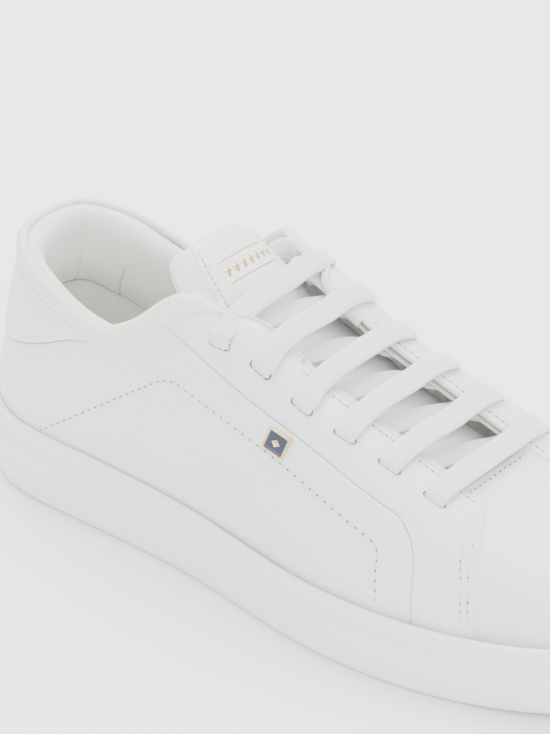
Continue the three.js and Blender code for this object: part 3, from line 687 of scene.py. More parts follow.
def resample_places(places, at):
    """A border curve of places, taken at shares of its real length on the surface."""
    run = lengths(surface(places[:, 0], places[:, 1]))
    return np.stack([np.interp(at * run[-1], run, places[:, k]) for k in range(2)], -1)


def coons_by(bottom, top, left, right, across, up):
    """A patch between four border curves that were taken at the given shares."""
    u = across[None, :, None]
    v = up[:, None, None]
    ruled = (1 - v) * bottom[None] + v * top[None] + (1 - u) * left[:, None] + u * right[:, None]
    corners = (1 - u) * (1 - v) * bottom[0] + u * (1 - v) * bottom[-1]
    corners = corners + (1 - u) * v * top[0] + u * v * top[-1]
    return ruled - corners


for name, side in SIDE.items():
    points, faces = shell(
        quarter_places(side), 0.0, LEATHER, roll=1.0, puff=0.6, open_edges=("bottom", "left"))
    piece(f"quarter_{name}_leather", points, faces, WHITE_LEATHER,
          stands_for=[f"quarter_{name}"], crease=60)

# ------------------------------------------------------------------ eyestays
# A long leather facing on each side of the throat, with six lace slots punched
# through it, turned down over the vamp in front and sewn to it in two rows.
HALF_THROAT = 16.5
FRONT_EDGE = [(215.8, 49.5), (217.2, 46.5), (220.5, 39), (222.5, 29), (223, 8)]
SLOTS = 6
SLOT_FIRST = 113.5
SLOT_LAST = 196.5
SLOT_OUT = 28.0
SLOT_LONG = 8.8
SLOT_HIGH = 2.7
CORNER_ROUND = 9.0       # rounding of the facing's top corner
slot_spots = np.linspace(SLOT_FIRST, SLOT_LAST, SLOTS)


def height_on(theta, line):
    """Share t of the surface at which it crosses a line of the side view."""
    theta = np.asarray(theta, float)
    low, high = np.zeros_like(theta), np.ones_like(theta)
    for halving in range(40):
        t = (low + high) / 2
        p = surface(theta, t)
        above = p[..., 2] > np.interp(p[..., 0], line[:, 0], line[:, 1])
        high = np.where(above, t, high)
        low = np.where(above, low, t)
    return (low + high) / 2


def rounded(path, corner, reach, count=15):
    """A path with the bend nearest to one point drawn as an even curve."""
    run = lengths(path)
    middle = run[np.argmin(np.linalg.norm(path - corner, axis=1))]
    a, b = middle - reach, middle + reach
    ends = np.stack([np.interp([a, b], run, path[:, k]) for k in range(path.shape[1])], -1)
    u = np.linspace(0, 1, count)[:, None]
    bend = (1 - u)**2 * ends[0] + 2 * u * (1 - u) * np.asarray(corner) + u**2 * ends[1]
    return np.vstack([path[run < a], bend, path[run > b]])


def places_of(points, side):
    """Places whose surface points are the given ones, on one side."""
    points = np.asarray(points, float)
    out = side * (points[:, 1] - middle_y(points[:, 0]))
    side_way = from_side(points[:, [0, 2]], side)
    plan_way = from_plan(points[:, 0], out, side)
    miss = [np.linalg.norm(surface(w[:, 0], w[:, 1]) - points, axis=1) for w in (side_way, plan_way)]
    return np.where((miss[0] < miss[1])[:, None], side_way, plan_way)


# The leather's edge along the collar, round the top corner, down the throat and down
# the front, with the places of its two corners.
def leather_edge(side):
    theta = on_side(np.linspace(0, 6.6, 240), side)
    collar = surface(theta, height_on(theta, leather_top))
    out = side * (collar[:, 1] - middle_y(collar[:, 0]))
    stop = np.argmax(out[60:] < HALF_THROAT) + 60
    throat_x = np.linspace(collar[stop, 0], 208.5, 160)
    throat_places = from_plan(throat_x, HALF_THROAT, side)
    throat = surface(throat_places[:, 0], throat_places[:, 1])
    edge = rounded(np.vstack([collar[:stop], throat]), throat[0], CORNER_ROUND)
    front_places = from_side(resample(spline(FRONT_EDGE, 80), 60), side)
    front = surface(front_places[:, 0], front_places[:, 1])
    edge = np.vstack([edge, front[front[:, 2] < throat[-1, 2] - 1.5]])
    edge = rounded(edge, throat[-1], 3.5)
    return edge, throat[0], throat[-1]


def nearest(path, point):
    return np.argmin(np.linalg.norm(path - point, axis=1))


def eyestay_places(side):
    """Places of the facing: along it from the collar to the sole, and across from seam to throat."""
    edge, top_corner, front_corner = leather_edge(side)
    seam = from_side(seam_line[gap_at:], side)
    start = nearest(edge, surface(seam[0, 0], seam[0, 1]))
    top_at = nearest(edge[start:], top_corner)
    front_at = nearest(edge[start:], front_corner)
    seam_at = nearest(seam_line[gap_at:], SEAM_CORNER)
    edge = places_of(edge[start:], side)
    along_back = shares(105, 2.2)[:-3]
    along_back = along_back / along_back[-1]
    along_front = np.linspace(0, 1, 16)[1:]
    across = shares(16, 1.5, edge=(0.2, 0.5, 1.0))
    low = np.vstack([
        resample_places(seam[:seam_at + 1], along_back), resample_places(seam[seam_at:], along_front),
    ])
    high = np.vstack([
        resample_places(edge[top_at:front_at + 1], along_back), resample_places(edge[front_at:], along_front),
    ])
    low[-1, 1] = high[-1, 1] = 0.0
    left = resample_places(edge[:top_at + 1], across)
    left[0] = low[0]
    left[-1] = high[0]
    right = low[-1] + (high[-1] - low[-1]) * across[:, None]
    run = lengths(surface(low[:, 0], low[:, 1]))
    return coons_by(low, high, left, right, run / run[-1], across)


def direction_frame(x, side, out):
    """Point, normal, direction along the throat and place, at x and a distance out from the middle.

    Behind the second slot the throat is open, so the laces arch there as they do over that slot.
    """
    if x < slot_spots[1] and out < SLOT_OUT - 0.1:
        p, n, along, place = direction_frame(slot_spots[1], side, out)
        shift = []
        for s in (-1, 1):
            shift.append(direction_frame(x, s, SLOT_OUT)[0] - direction_frame(slot_spots[1], s, SLOT_OUT)[0])
        share = (side * out + SLOT_OUT) / (2 * SLOT_OUT)
        return p + shift[0] * (1 - share) + shift[1] * share, n, along, place
    places = from_plan([x - 0.5, x, x + 0.5], [out, out, out], side)
    p = surface(places[:, 0], places[:, 1])
    n = normal(places[1, 0], places[1, 1])
    along = (p[2] - p[0]) / np.linalg.norm(p[2] - p[0])
    return p[1], n, along, places[1]


def slot_cutters(side, long, high):
    """Rounded bars that punch the lace slots."""
    points = []
    faces = []
    for x in slot_spots:
        p, n, along, place = direction_frame(x, side, SLOT_OUT)
        across = np.cross(n, along)
        turn = np.linspace(0, 2 * math.pi, 24, endpoint=False)
        ends = np.sign(np.cos(turn)) * (np.abs(np.cos(turn)) > 1e-6) * (long / 2 - high / 2)
        outline_2d = np.stack([ends + np.cos(turn) * high / 2, np.sin(turn) * high / 2], -1)
        base = len(points)
        for lift in (-9.0, 6.0):
            for u, v in outline_2d:
                points.append(p + n * lift + along * u + across * v)
        count = len(outline_2d)
        faces.append(list(range(base, base + count))[::-1])
        faces.append(list(range(base + count, base + 2 * count)))
        for k in range(count):
            m = (k + 1) % count
            faces.append([base + k, base + m, base + count + m, base + count + k])
    mesh = bpy.data.meshes.new("cutters")
    mesh.from_pydata(in_frame(points).tolist(), [], faces)
    thing = bpy.data.objects.new("cutters", mesh)
    bpy.context.collection.objects.link(thing)
    return thing


def apply_modifiers(thing):
    """Bakes an object's modifiers into its mesh."""
    depsgraph = bpy.context.evaluated_depsgraph_get()
    done = bpy.data.meshes.new_from_object(thing.evaluated_get(depsgraph))
    thing.modifiers.clear()
    thing.data = done


def facing_out(thing):
    """Turns every face of a mesh outwards."""
    mesh = bmesh.new()
    mesh.from_mesh(thing.data)
    bmesh.ops.recalc_face_normals(mesh, faces=mesh.faces)
    mesh.to_mesh(thing.data)
    mesh.free()


def punch(thing, cutter):
    facing_out(thing)
    facing_out(cutter)
    cut = thing.modifiers.new("punch", "BOOLEAN")
    cut.operation = "DIFFERENCE"
    cut.solver = "EXACT"
    cut.use_self = True
    cut.object = cutter
    apply_modifiers(thing)
    bpy.data.objects.remove(cutter, do_unlink=True)


for name, side in SIDE.items():
    points, faces = shell(eyestay_places(side), 0.0, LEATHER, roll=1.1, puff=0.6, open_edges=("right",))
    facing = piece(f"eyestay_{name}_leather", points, faces, WHITE_LEATHER,
                   stands_for=[f"eyestay_{name}"], crease=60)
    punch(facing, slot_cutters(side, SLOT_LONG, SLOT_HIGH))

# ------------------------------------------------------------------ heel patch
# The padded leather piece round the back of the heel, a shallow crescent from the
# topline down to the quarters, with foam behind it.
HEEL_COLUMNS = 90
heel_line = spline([(-12, 51.4)] + HEEL_PATCH_EDGE[1:], 80)
heel_theta_end = float(from_side([heel_edge[-1] - (1.2, 0)], -1)[0, 0])


def ring_places(theta_end, low_line, high_line, columns, row_shares, low_shift=0.0, high_shift=0.0):
    """Places round the heel, from the inner side to the outer, between two lines of the side view."""
    theta = np.linspace(-theta_end, theta_end, columns)
    low = height_on(theta, low_line + (0, low_shift))
    high = height_on(theta, high_line + (0, high_shift))
    t = low[None, :] + (high - low)[None, :] * np.asarray(row_shares)[:, None]
    return np.stack([np.broadcast_to(theta, t.shape), t], -1)


heel_patch = ring_places(heel_theta_end, heel_line, leather_top, HEEL_COLUMNS, shares(26, 1.8), 0.15)


def heel_patch_mesh():
    points, faces = shell(heel_patch, 0.0, LEATHER, roll=0.8, puff=0.55, puff_reach=5.0)
    flat = surface(heel_patch[..., 0], heel_patch[..., 1])
    n = normal(heel_patch[..., 0], heel_patch[..., 1])
    tall = np.linalg.norm(flat[-1] - flat[0], axis=1)
    v = np.linspace(0, 1, len(flat))[:, None]
    swell = 0.9 * np.sin(math.pi * v) ** 0.7 * smooth(tall / 16)[None]
    points[:flat.shape[0] * flat.shape[1]] += (n * swell[..., None]).reshape(-1, 3)
    return points, faces


points, faces = heel_patch_mesh()
heel_piece = piece("heel_patch_leather", points, faces, WHITE_LEATHER,
                   stands_for=["heel_patch"], crease=60)

# ------------------------------------------------------------------ vamp
# The toe and front of the upper in one piece of leather, lasted over the toe and
# tucked under the eyestays. Its back edge lies across the tongue.
VAMP_BACK = 199.0
VAMP_DEPTH = 1.5


def back_edge(at, side):
    """Places on the vamp's back edge, from the sole up to the ridge, at shares of its length."""
    t = np.linspace(0, 1, 200)
    theta = np.full(t.shape, 9.5)
    for sweep in range(40):
        x = surface(on_side(theta, side), t)[:, 0]
        slope = (surface(on_side(theta + 0.01, side), t)[:, 0] - x) / 0.01
        theta = theta + 0.8 * (VAMP_BACK - x) / slope
    return resample_places(np.stack([on_side(theta, side), t], -1), at)


def vamp_half(side):
    up = shares(62, 2.4)
    left = back_edge(up, side)
    along = shares(90, 2.4)[:-3]
    along = along / along[-1]
    bottom = resample_places(np.stack([np.linspace(left[0, 0], TOE, 200), np.zeros(200)], -1), along)
    top = resample_places(np.stack([np.linspace(left[-1, 0], TOE, 200), np.ones(200)], -1), along)
    right = resample_places(np.stack([np.full(200, float(TOE)), np.linspace(0, 1, 200)], -1), up)
    return coons_by(bottom, top, left, right, along, up)


def merge(thing, distance=2e-5):
    """Joins the points of a mesh that lie on each other."""
    mesh = bmesh.new()
    mesh.from_mesh(thing.data)
    bmesh.ops.remove_doubles(mesh, verts=mesh.verts, dist=distance)
    bmesh.ops.recalc_face_normals(mesh, faces=mesh.faces)
    mesh.to_mesh(thing.data)
    mesh.free()


full_vamp = np.concatenate([vamp_half(-1), vamp_half(1)[:, -2::-1]], axis=1)


def folded_shell(places, depth, thick, roll):
    """A slab whose top row folds onto itself along the ridge, left and right borders rolled."""
    flat = surface(places[..., 0], places[..., 1])
    n = normal(places[..., 0], places[..., 1])
    n[-1] = n[-1] + n[-1, ::-1]
    n[-1] /= np.linalg.norm(n[-1], axis=1, keepdims=True)
    left, right, low, high = edge_distance(flat)
    fall = rolled(np.minimum(left, right), roll)
    outer = flat - n * (depth + fall)[..., None]
    inner = flat - n * (depth + thick)
    faces = slab_faces(places.shape[0], places.shape[1], False)
    rim_top = range(places.shape[1] * (places.shape[0] - 1), places.shape[1] * places.shape[0])
    rim_top = set(rim_top) | {k + flat.shape[0] * flat.shape[1] for k in rim_top}
    faces = [f for f in faces.tolist() if not set(f) <= rim_top]
    return np.concatenate([outer.reshape(-1, 3), inner.reshape(-1, 3)]), faces


points, faces = folded_shell(full_vamp, VAMP_DEPTH, LEATHER, 0.6)
vamp_piece = piece("vamp_leather", points, faces, WHITE_LEATHER, stands_for=["vamp"])
merge(vamp_piece)


def soften_ridge(thing, reach, passes):
    """Eases the crease where the two halves of the vamp meet, clear of its back edge."""
    mesh = bmesh.new()
    mesh.from_mesh(thing.data)
    near = []
    for v in mesh.verts:
        x = v.co.x * 1000 + HEEL_X
        off = abs(v.co.y * 1000 - SIDE_SHIFT - float(ridge_y(x)))
        if off < reach and x > VAMP_BACK + 4 and v.co.z * 1000 > 40:
            near.append(v)
    for sweep in range(passes):
        bmesh.ops.smooth_vert(
            mesh, verts=near, factor=0.5, use_axis_x=True, use_axis_y=True, use_axis_z=True)
    mesh.to_mesh(thing.data)
    mesh.free()


soften_ridge(vamp_piece, 9.0, 12)

# ------------------------------------------------------------------ linings
# The soft lining of each quarter, glued behind the leather from the insole up to
# the collar padding and to the edge of the throat, slotted like the facing.
IVORY = (0.80, 0.785, 0.74)
LINING_IN = 4.2
PAD_LOW = [(-12, 60), (15, 57), (34, 49), (57, 43), (80, 56), (92, 72), (99, 85)]
pad_low = spline(PAD_LOW, 160)


def knit_group():
    """Fine loops of a brushed knit, as one height."""
    group, enter, leave = node_group(
        "knit", [("Scale", "NodeSocketFloat", 1100.0)], [("Height", "NodeSocketFloat")])
    place = add_node(group, "ShaderNodeTexCoord")
    loops = add_node(group, "ShaderNodeTexVoronoi", feature="SMOOTH_F1", Smoothness=0.5)
    wire(group, place, "Object", loops, "Vector")
    wire(group, enter, "Scale", loops, "Scale")
    fluff = add_node(group, "ShaderNodeTexNoise", Scale=2600.0, Detail=4.0)
    wire(group, place, "Object", fluff, "Vector")
    mix = add_node(group, "ShaderNodeMath", operation="MULTIPLY_ADD")
    wire(group, fluff, "Fac", mix, 0)
    mix.inputs[1].default_value = 0.8
    wire(group, loops, "Distance", mix, 2)
    wire(group, mix, 0, leave, "Height")
    return group


KNIT = knit_group()


def textile_material(name, color, scale, strength):
    material, tree, shader = blank_material(
        name, color, 0.92, Specular_IOR_Level=0.25, Sheen_Weight=0.35, Sheen_Roughness=0.45)
    handled(tree, shader, color, 0.9, 0.06, 35.0)
    loops = tree.nodes.new("ShaderNodeGroup")
    loops.node_tree = KNIT
    loops.inputs["Scale"].default_value = scale
    bump_from(tree, shader, loops, "Height", strength, 0.00025)
    return material


LINING_KNIT = textile_material("lining_textile", IVORY, 1100.0, 0.45)


def lining_places(side):
    theta = on_side(np.linspace(0.0, 4.9, 60), side)
    low_part = np.stack([theta, height_on(theta, pad_low)], -1)
    high_x = np.linspace(104, VAMP_BACK - 0.4, 60)
    high_part = from_plan(high_x, np.full(60, HALF_THROAT + 1.0), side)
    top = np.vstack([low_part, high_part])
    across = shares(230, 3.2)
    up = shares(60, 3.2)
    top = resample_places(top, across)
    right = back_edge(np.linspace(0, 1, 80), side)
    stop = nearest(surface(right[:, 0], right[:, 1]), surface(*top[-1]))
    right = resample_places(right[:stop + 1], up)
    right[-1] = top[-1]
    left = np.stack([np.full(len(up), float(on_side(0, side))), top[0, 1] * up], -1)
    bottom = np.stack([np.linspace(on_side(0, side), right[0, 0], 100), np.zeros(100)], -1)
    bottom = resample_places(bottom, across)
    return coons_by(bottom, top, left, right, across, up)


for name, side in SIDE.items():
    points, faces = shell(lining_places(side), LINING_IN, 1.0, roll=0.4)
    panel = piece(f"lining_{name}_knit", points, faces, LINING_KNIT,
                  stands_for=[f"lining_{name}"], crease=60)
    punch(panel, slot_cutters(side, SLOT_LONG, 6.0))

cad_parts["vamp_lining"].data.materials.clear()
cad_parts["vamp_lining"].data.materials.append(LINING_KNIT)

# ------------------------------------------------------------------ sockliner
# The footbed: moulded foam faced with the lining knit, dished a little and curling
# up at its edge, lying loose on the board.
FOOTBED_IN = -6.4
FOOTBED_RINGS = [
    (-0.6, DEEP - 1.6), (0.0, DEEP - 2.2), (0.1, DEEP - 3.4), (-0.3, DEEP - 4.8), (-1.2, DEEP - 5.7),
    (-2.4, DEEP - 5.9), (-4.0, DEEP - 5.4),
]
footbed_theta = np.arange(220) * ROUND / 220


def footbed():
    rings = [outline(footbed_theta, FOOTBED_IN + out, below_lip(down)) for out, down in FOOTBED_RINGS]
    count = len(footbed_theta)
    points = np.concatenate(rings)
    faces = []
    for r in range(len(rings) - 1):
        for i in range(count):
            j = (i + 1) % count
            faces.append((r * count + i, r * count + j, (r + 1) * count + j, (r + 1) * count + i))

    def dished(x, y, along, i):
        width = along[-1] + along[0]
        inside = np.minimum(along, width - along)
        return lip_z(x) - (DEEP - 5.4) - 0.9 * smooth(inside / 12)

    top = (len(rings) - 1) * count
    over, over_faces = strip_across(rings[-1], 26, dished)
    base = len(points)
    faces += [[v + top if v < count else v - count + base for v in reversed(f)] for f in over_faces]
    points = np.vstack([points, over])
    under, under_faces = strip_across(rings[0], 10, lambda x, y, along, i: lip_z(x) - (DEEP - 1.6))
    base = len(points)
    faces += [[v if v < count else v - count + base for v in f] for f in under_faces]
    return np.vstack([points, under]), faces


points, faces = footbed()
footbed_piece = piece("footbed", points, faces, LINING_KNIT,
                      stands_for=["sockliner"], crease=60)

# ------------------------------------------------------------------ collar
# A padded roll round the ankle: foam wrapped in the ivory knit, which is turned over
# the topline and ends in a ribbed tape stitched along the leather's edge.
ROLL_THETA = 5.3
IVORY_TAPE = (0.81, 0.80, 0.765)
# Section of the roll from the leather's edge over the top and down inside:
# depth from the outer surface, and height over the topline.
ROLL_SECTION = [
    (1.5, -7.2), (1.5, -5.0), (1.6, -3.0), (1.9, -1.2), (3.0, 0.6), (4.8, 1.2), (6.8, 0.7), (8.4, -0.9),
    (9.4, -3.4), (9.9, -6.6), (10.0, -10.0), (9.9, -13.5), (9.5, -16.5), (8.6, -19.5), (7.3, -22.0),
    (6.0, -24.0),
    (5.4, -25.0), (5.3, -22.0), (5.3, -12.0), (3.0, -9.0),
]
ROLL_LENGTH = 240


def topline_frame(theta):
    """Points along the topline, the way in from the wall and the way up, round the collar."""
    t = height_on(theta, topline)
    p = surface(theta, t)
    n = normal(theta, np.minimum(t, 0.93))
    before, after = theta - 0.02, theta + 0.02
    ahead = surface(after, height_on(after, topline)) - surface(before, height_on(before, topline))
    ahead /= np.linalg.norm(ahead, axis=1, keepdims=True)
    inward = -n + np.sum(n * ahead, 1, keepdims=True) * ahead
    inward /= np.linalg.norm(inward, axis=1, keepdims=True)
    up = np.cross(ahead, inward)
    up *= np.sign(up[:, 2:3])
    return p, inward, up


def closed_sweep(rings):
    """Points and faces of a tube of rings with its ends filled."""
    rings = np.asarray(rings)
    steps, count = rings.shape[:2]
    faces = []
    for r in range(steps - 1):
        for k in range(count):
            m = (k + 1) % count
            faces.append((r * count + k, (r + 1) * count + k, (r + 1) * count + m, r * count + m))
    middle = rings[[0, -1]].mean(axis=1)
    base = steps * count
    for k in range(count):
        m = (k + 1) % count
        faces.append((base, k, m))
        faces.append((base + 1, (steps - 1) * count + m, (steps - 1) * count + k))
    return np.vstack([rings.reshape(-1, 3), middle]), faces


def roll_mesh(theta_end, shrink):
    """The collar's roll; shrink draws the section in for the foam under the knit."""
    theta = np.linspace(-theta_end, theta_end, ROLL_LENGTH)
    p, inward, up = topline_frame(theta)
    section = spline(ROLL_SECTION + [ROLL_SECTION[0]], 46)[:-1]
    centre = section.mean(axis=0)
    section = centre + (section - centre) * (1 - shrink)
    low = surface(theta, height_on(theta, pad_low))
    room = np.linalg.norm(p - low, axis=1) / 25.0
    ends = smooth((theta_end - np.abs(theta)) / 0.9)
    fold = 1 + 0.10 * np.sin(theta * 2.3 + 0.6) * ends
    rings = []
    for k in range(ROLL_LENGTH):
        depth = section[:, 0].copy()
        height = section[:, 1] * np.where(section[:, 1] < -7.2, min(1.25, room[k]), 1)
        inner = np.clip((depth - 1.5) / 8.5, 0, 1)
        depth = 1.5 + (depth - 1.5) * (0.45 + 0.55 * ends[k]) * (1 + (fold[k] - 1) * inner)
        rings.append(p[k] + inward[k] * depth[:, None] + up[k] * height[:, None])
    return closed_sweep(rings)


points, faces = roll_mesh(ROLL_THETA, 0.0)
COLLAR_KNIT = textile_material("collar_textile", IVORY, 950.0, 0.4)
roll_piece = piece("collar_roll", points, faces, COLLAR_KNIT,
                   stands_for=["collar_lining"])
facing_out(roll_piece)
points, faces = roll_mesh(ROLL_THETA - 0.1, 0.12)
foam_piece = piece("collar_foam", points, faces, FOAM, stands_for=["collar_pad"])
facing_out(foam_piece)

RIB_PITCH = 2.1
RIB_HIGH = 0.3
TAPE_END = 138


def tape_rings(side):
    """Half of the tape, from the middle of the heel to the second slot: a folded, ribbed strip."""
    edge, top_corner, front_corner = leather_edge(side)
    stop = nearest(edge, top_corner) + np.argmax(edge[nearest(edge, top_corner):, 0] > TAPE_END)
    edge = resample(edge[:stop], 420)
    places = places_of(edge, side)
    n = normal(places[:, 0], places[:, 1])
    ahead = np.gradient(edge, axis=0)
    ahead /= np.linalg.norm(ahead, axis=1, keepdims=True)
    beyond = np.cross(n, ahead)
    beyond *= np.sign(beyond[60, 2])
    run = lengths(edge)
    past = smooth((edge[:, 0] - 96) / 16) * smooth((np.arange(len(edge)) - 200) / 60)
    wide = 6.9 - 4.7 * past
    rib = RIB_HIGH * np.cos(run / RIB_PITCH * 2 * math.pi)
    rings = []
    for k, w in enumerate(wide):
        profile = [
            (-1.4, 1.65), (-1.3, 1.25), (-0.2, 0.95), (0.35, 0.32), (0.9, 0.05), (w * 0.35, -0.18),
            (w * 0.6, -0.22), (w * 0.85, 0.1), (w, 1.0), (w + 0.25, 2.0), (w - 0.1, 3.2), (w - 1.6, 3.0),
            (w * 0.5, 1.75),
        ]
        lift = [rib[k] if 3 <= i <= 9 else 0 for i in range(len(profile))]
        rings.append([edge[k] + beyond[k] * a - n[k] * (d - up) for (a, d), up in zip(profile, lift)])
    return np.array(rings)


tape_material = textile_material("binding_tape", IVORY_TAPE, 1500.0, 0.3)
points, faces = closed_sweep(np.concatenate([tape_rings(1)[:0:-1], tape_rings(-1)]))
tape_piece = piece("binding_tape", points, faces, tape_material,
                   stands_for=["collar_binding"])
facing_out(tape_piece)

# ------------------------------------------------------------------ tongue
# A padded tongue: a leather shell over foam with a knit lining, sewn to the vamp in
# front and free at the top, where a second patch of leather is sewn on.
TONGUE_LINE = [(203, 45.2), (186, 52.5), (165, 61.6), (140, 72.4), (118, 82.2), (103.5, 93.6), (88.5, 107)]
TONGUE_HALF = (20, 26)
TONGUE_CROWN = (2.5, 8)
TONGUE_ROLL = 4
TONGUE_SHIFT = 1.0       # how far it lies to the outer side of the ridge
TONGUE_CORNER = 0.24     # share of the length over which the top corners are rounded
tongue_line = spline(TONGUE_LINE, 300)
tongue_run = lengths(tongue_line) / lengths(tongue_line)[-1]
tongue_slope = np.gradient(tongue_line, axis=0)
tongue_slope /= np.linalg.norm(tongue_slope, axis=1, keepdims=True)


def tongue_point(s, q, depth):
    """A point over the tongue: s from the front to the top, q across, depth under its outer face."""
    s, q, depth = np.broadcast_arrays(np.asarray(s, float), np.asarray(q, float), np.asarray(depth, float))
    p = np.stack([np.interp(s, tongue_run, tongue_line[:, k]) for k in range(2)], -1)
    d = np.stack([np.interp(s, tongue_run, tongue_slope[:, k]) for k in range(2)], -1)
    half = TONGUE_HALF[0] + (TONGUE_HALF[1] - TONGUE_HALF[0]) * smooth(s * 1.6)
    corner = np.clip((s - 1 + TONGUE_CORNER) / TONGUE_CORNER, 0, 1)
    half = half * (1 - 0.36 * (1 - np.sqrt(1 - 0.97 * corner**2)))
    crown = TONGUE_CROWN[0] + (TONGUE_CROWN[1] - TONGUE_CROWN[0]) * smooth(s * 1.3)
    roll = TONGUE_ROLL * smooth((s - 0.6) / 0.4)
    drop = crown * q * q + roll * q + depth
    y = ridge_y(p[..., 0]) - TONGUE_SHIFT + q * half
    return np.stack([p[..., 0] - d[..., 1] * drop, y, p[..., 1] + d[..., 0] * drop], -1)


def tongue_slab(s_range, q_range, top, bottom, columns, rows, edge_roll, swell=0.0):
    """A slab on the tongue with rolled edges on its top (positive) or under side (negative)."""
    s = s_range[0] + (s_range[1] - s_range[0]) * shares((s_range[1] - s_range[0]) * 135, 135 / rows)
    q = q_range[0] + (q_range[1] - q_range[0]) * shares((q_range[1] - q_range[0]) * 26, 54 / columns)
    grid_s, grid_q = np.meshgrid(s, q, indexing="ij")
    flat = tongue_point(grid_s, grid_q, 0.0)
    near = np.min(edge_distance(flat), axis=0)
    fall = rolled(near, abs(edge_roll))
    pillow = swell * (1 - np.exp(-(near / 6) ** 2))
    if edge_roll > 0:
        outer = tongue_point(grid_s, grid_q, top + fall - pillow)
        inner = tongue_point(grid_s, grid_q, bottom + np.minimum(fall, 0.8 * abs(edge_roll)) - pillow)
    else:
        outer = tongue_point(grid_s, grid_q, top - np.minimum(fall, 0.8 * abs(edge_roll)) + pillow)
        inner = tongue_point(grid_s, grid_q, bottom - fall + pillow)
    points = np.concatenate([outer.reshape(-1, 3), inner.reshape(-1, 3)])
    return points, slab_faces(len(s), len(q), False)


TONGUE_LEATHER = leather_material("tongue_leather", LEATHER_WHITE, 0.48)
PATCH_WHITE = leather_material("patch_leather", (0.86, 0.845, 0.905), 0.42, strength=0.12)
points, faces = tongue_slab((0.0, 1.0), (-1, 1), 0.0, 1.3, 40, 80, 2.9, swell=0.7)
tongue_top = piece("tongue_shell_leather", points, faces, TONGUE_LEATHER, body="tongue",
                   stands_for=["tongue_shell"], crease=70)
facing_out(tongue_top)
points, faces = tongue_slab((0.0, 1.0), (-1, 1), 5.2, 6.2, 40, 80, -2.9, swell=0.7)
tongue_under = piece("tongue_lining_knit", points, faces, LINING_KNIT, body="tongue",
                     stands_for=["tongue_lining"], crease=70)
facing_out(tongue_under)
points, faces = tongue_slab((0.03, 0.985), (-0.94, 0.94), 1.9, 4.6, 30, 60, 1.2)
tongue_foam = piece("tongue_padding", points, faces, FOAM, body="tongue",
                    stands_for=["tongue_foam"])
facing_out(tongue_foam)

PATCH_S = (0.775, 0.992)
PATCH_Q = (-0.72, 0.90)


def patch_mesh():
    s = PATCH_S[0] + (PATCH_S[1] - PATCH_S[0]) * shares(32, 1.2)
    q = PATCH_Q[0] + (PATCH_Q[1] - PATCH_Q[0]) * shares(40, 1.5)
    grid_s, grid_q = np.meshgrid(s, q, indexing="ij")
    base = tongue_point(grid_s, grid_q, 0.0)
    whole = np.min([
        (1 - np.abs(grid_q)) * 26, np.abs(1 - grid_s) * 135,
    ], axis=0)
    shell_top = rolled(whole, 2.9) - 0.7 * (1 - np.exp(-(whole / 6) ** 2))
    near = np.min(edge_distance(base), axis=0)
    swell = 0.25 * (1 - np.exp(-(near / 3) ** 2))
    outer = tongue_point(grid_s, grid_q, shell_top - 1.0 + rolled(near, 0.6) - swell)
    inner = tongue_point(grid_s, grid_q, shell_top - 0.02)
    points = np.concatenate([outer.reshape(-1, 3), inner.reshape(-1, 3)])
    return points, slab_faces(len(s), len(q), False)


points, faces = patch_mesh()
patch_piece = piece("tongue_patch", points, faces, PATCH_WHITE, body="tongue",
                    stands_for=["tongue_label"], crease=60)
facing_out(patch_piece)

# ------------------------------------------------------------------ lace
# One flat tubular lace of white polyester in a herringbone weave. It runs straight
# across over the throat, down through each slot and slantwise underneath to the next.
LACE_WIDE = 8.0
LACE_THICK = 2.1
LACE_STEP = 0.34
LACE_AROUND = 28
CHEVRON_PITCH = 1.5
CHEVRON_HIGH = 0.26
BAR_LIFT = 1.3
UNDER = 6.9
LACE_WHITE = (0.80, 0.80, 0.795)
BAR_OUTS = (21, 16, 11, 5.5, 0.5)
SLOT_BEND = [
    (24.8, -UNDER), (27, -UNDER + 0.3), (27.9, -UNDER + 1.6), (28, -1.6), (27.9, -0.2), (27, 1.0), (24.8, 1.3),
]
UNDER_RUN = [(-1, 21), (-1, 15), (-1, 8), (-1, 1), (1, 8), (1, 15), (1, 21)]


def lace_stops():
    """The lace's places, width directions and squeeze, from one tucked end to the other."""
    stops = []

    def over(x, side, out, height, squeeze=1.0):
        p, n, along, place = direction_frame(x, side, max(out, 0.5))
        stops.append((p + n * height, along, n, squeeze))

    def through(x, side, up, ends):
        p, n, along, place = direction_frame(x, side, SLOT_OUT)
        inward = np.cross(n, along)
        inward *= -side * np.sign(inward[1])
        bend = SLOT_BEND[3:] if ends else SLOT_BEND
        for out, height in bend if up else reversed(bend):
            squeeze = 0.92 if out > 26.5 else 0.97
            stops.append((p + n * height + inward * (SLOT_OUT - out), along, n, squeeze))

    def tucked(x, side, first):
        p, n, along, place = direction_frame(x, side, SLOT_OUT)
        inward = np.cross(n, along)
        inward *= -side * np.sign(inward[1])
        run = [(p - n * (UNDER - 1.8), along, n, 0.95), (p - n * UNDER - inward * 0.4, along, n, 0.95)]
        for k in range(1, 7):
            t = place[1] - 0.05 * k
            m = normal(place[0], t)
            run.append((surface(place[0], t) - m * (UNDER + 0.4), along, m, 1.0))
        stops.extend(reversed(run) if first else run)

    for k, x in enumerate(slot_spots):
        if k == 0:
            tucked(x, 1, True)
        through(x, 1, True, k == 0)
        for out in BAR_OUTS:
            over(x, 1, out, BAR_LIFT + 0.6 * smooth((21 - out) / 12))
        for out in reversed(BAR_OUTS[:-1]):
            over(x, -1, out, BAR_LIFT + 0.6 * smooth((21 - out) / 12))
        through(x, -1, False, k == SLOTS - 1)
        if k < SLOTS - 1:
            for side, out in UNDER_RUN:
                share = (side * out + SLOT_OUT) / (2 * SLOT_OUT)
                at = x + (slot_spots[k + 1] - x) * share
                over(at, side, out, -UNDER + 1.6 * (1 - smooth((out - 6) / 10)), 0.97)
        else:
            tucked(x, -1, False)
    return stops


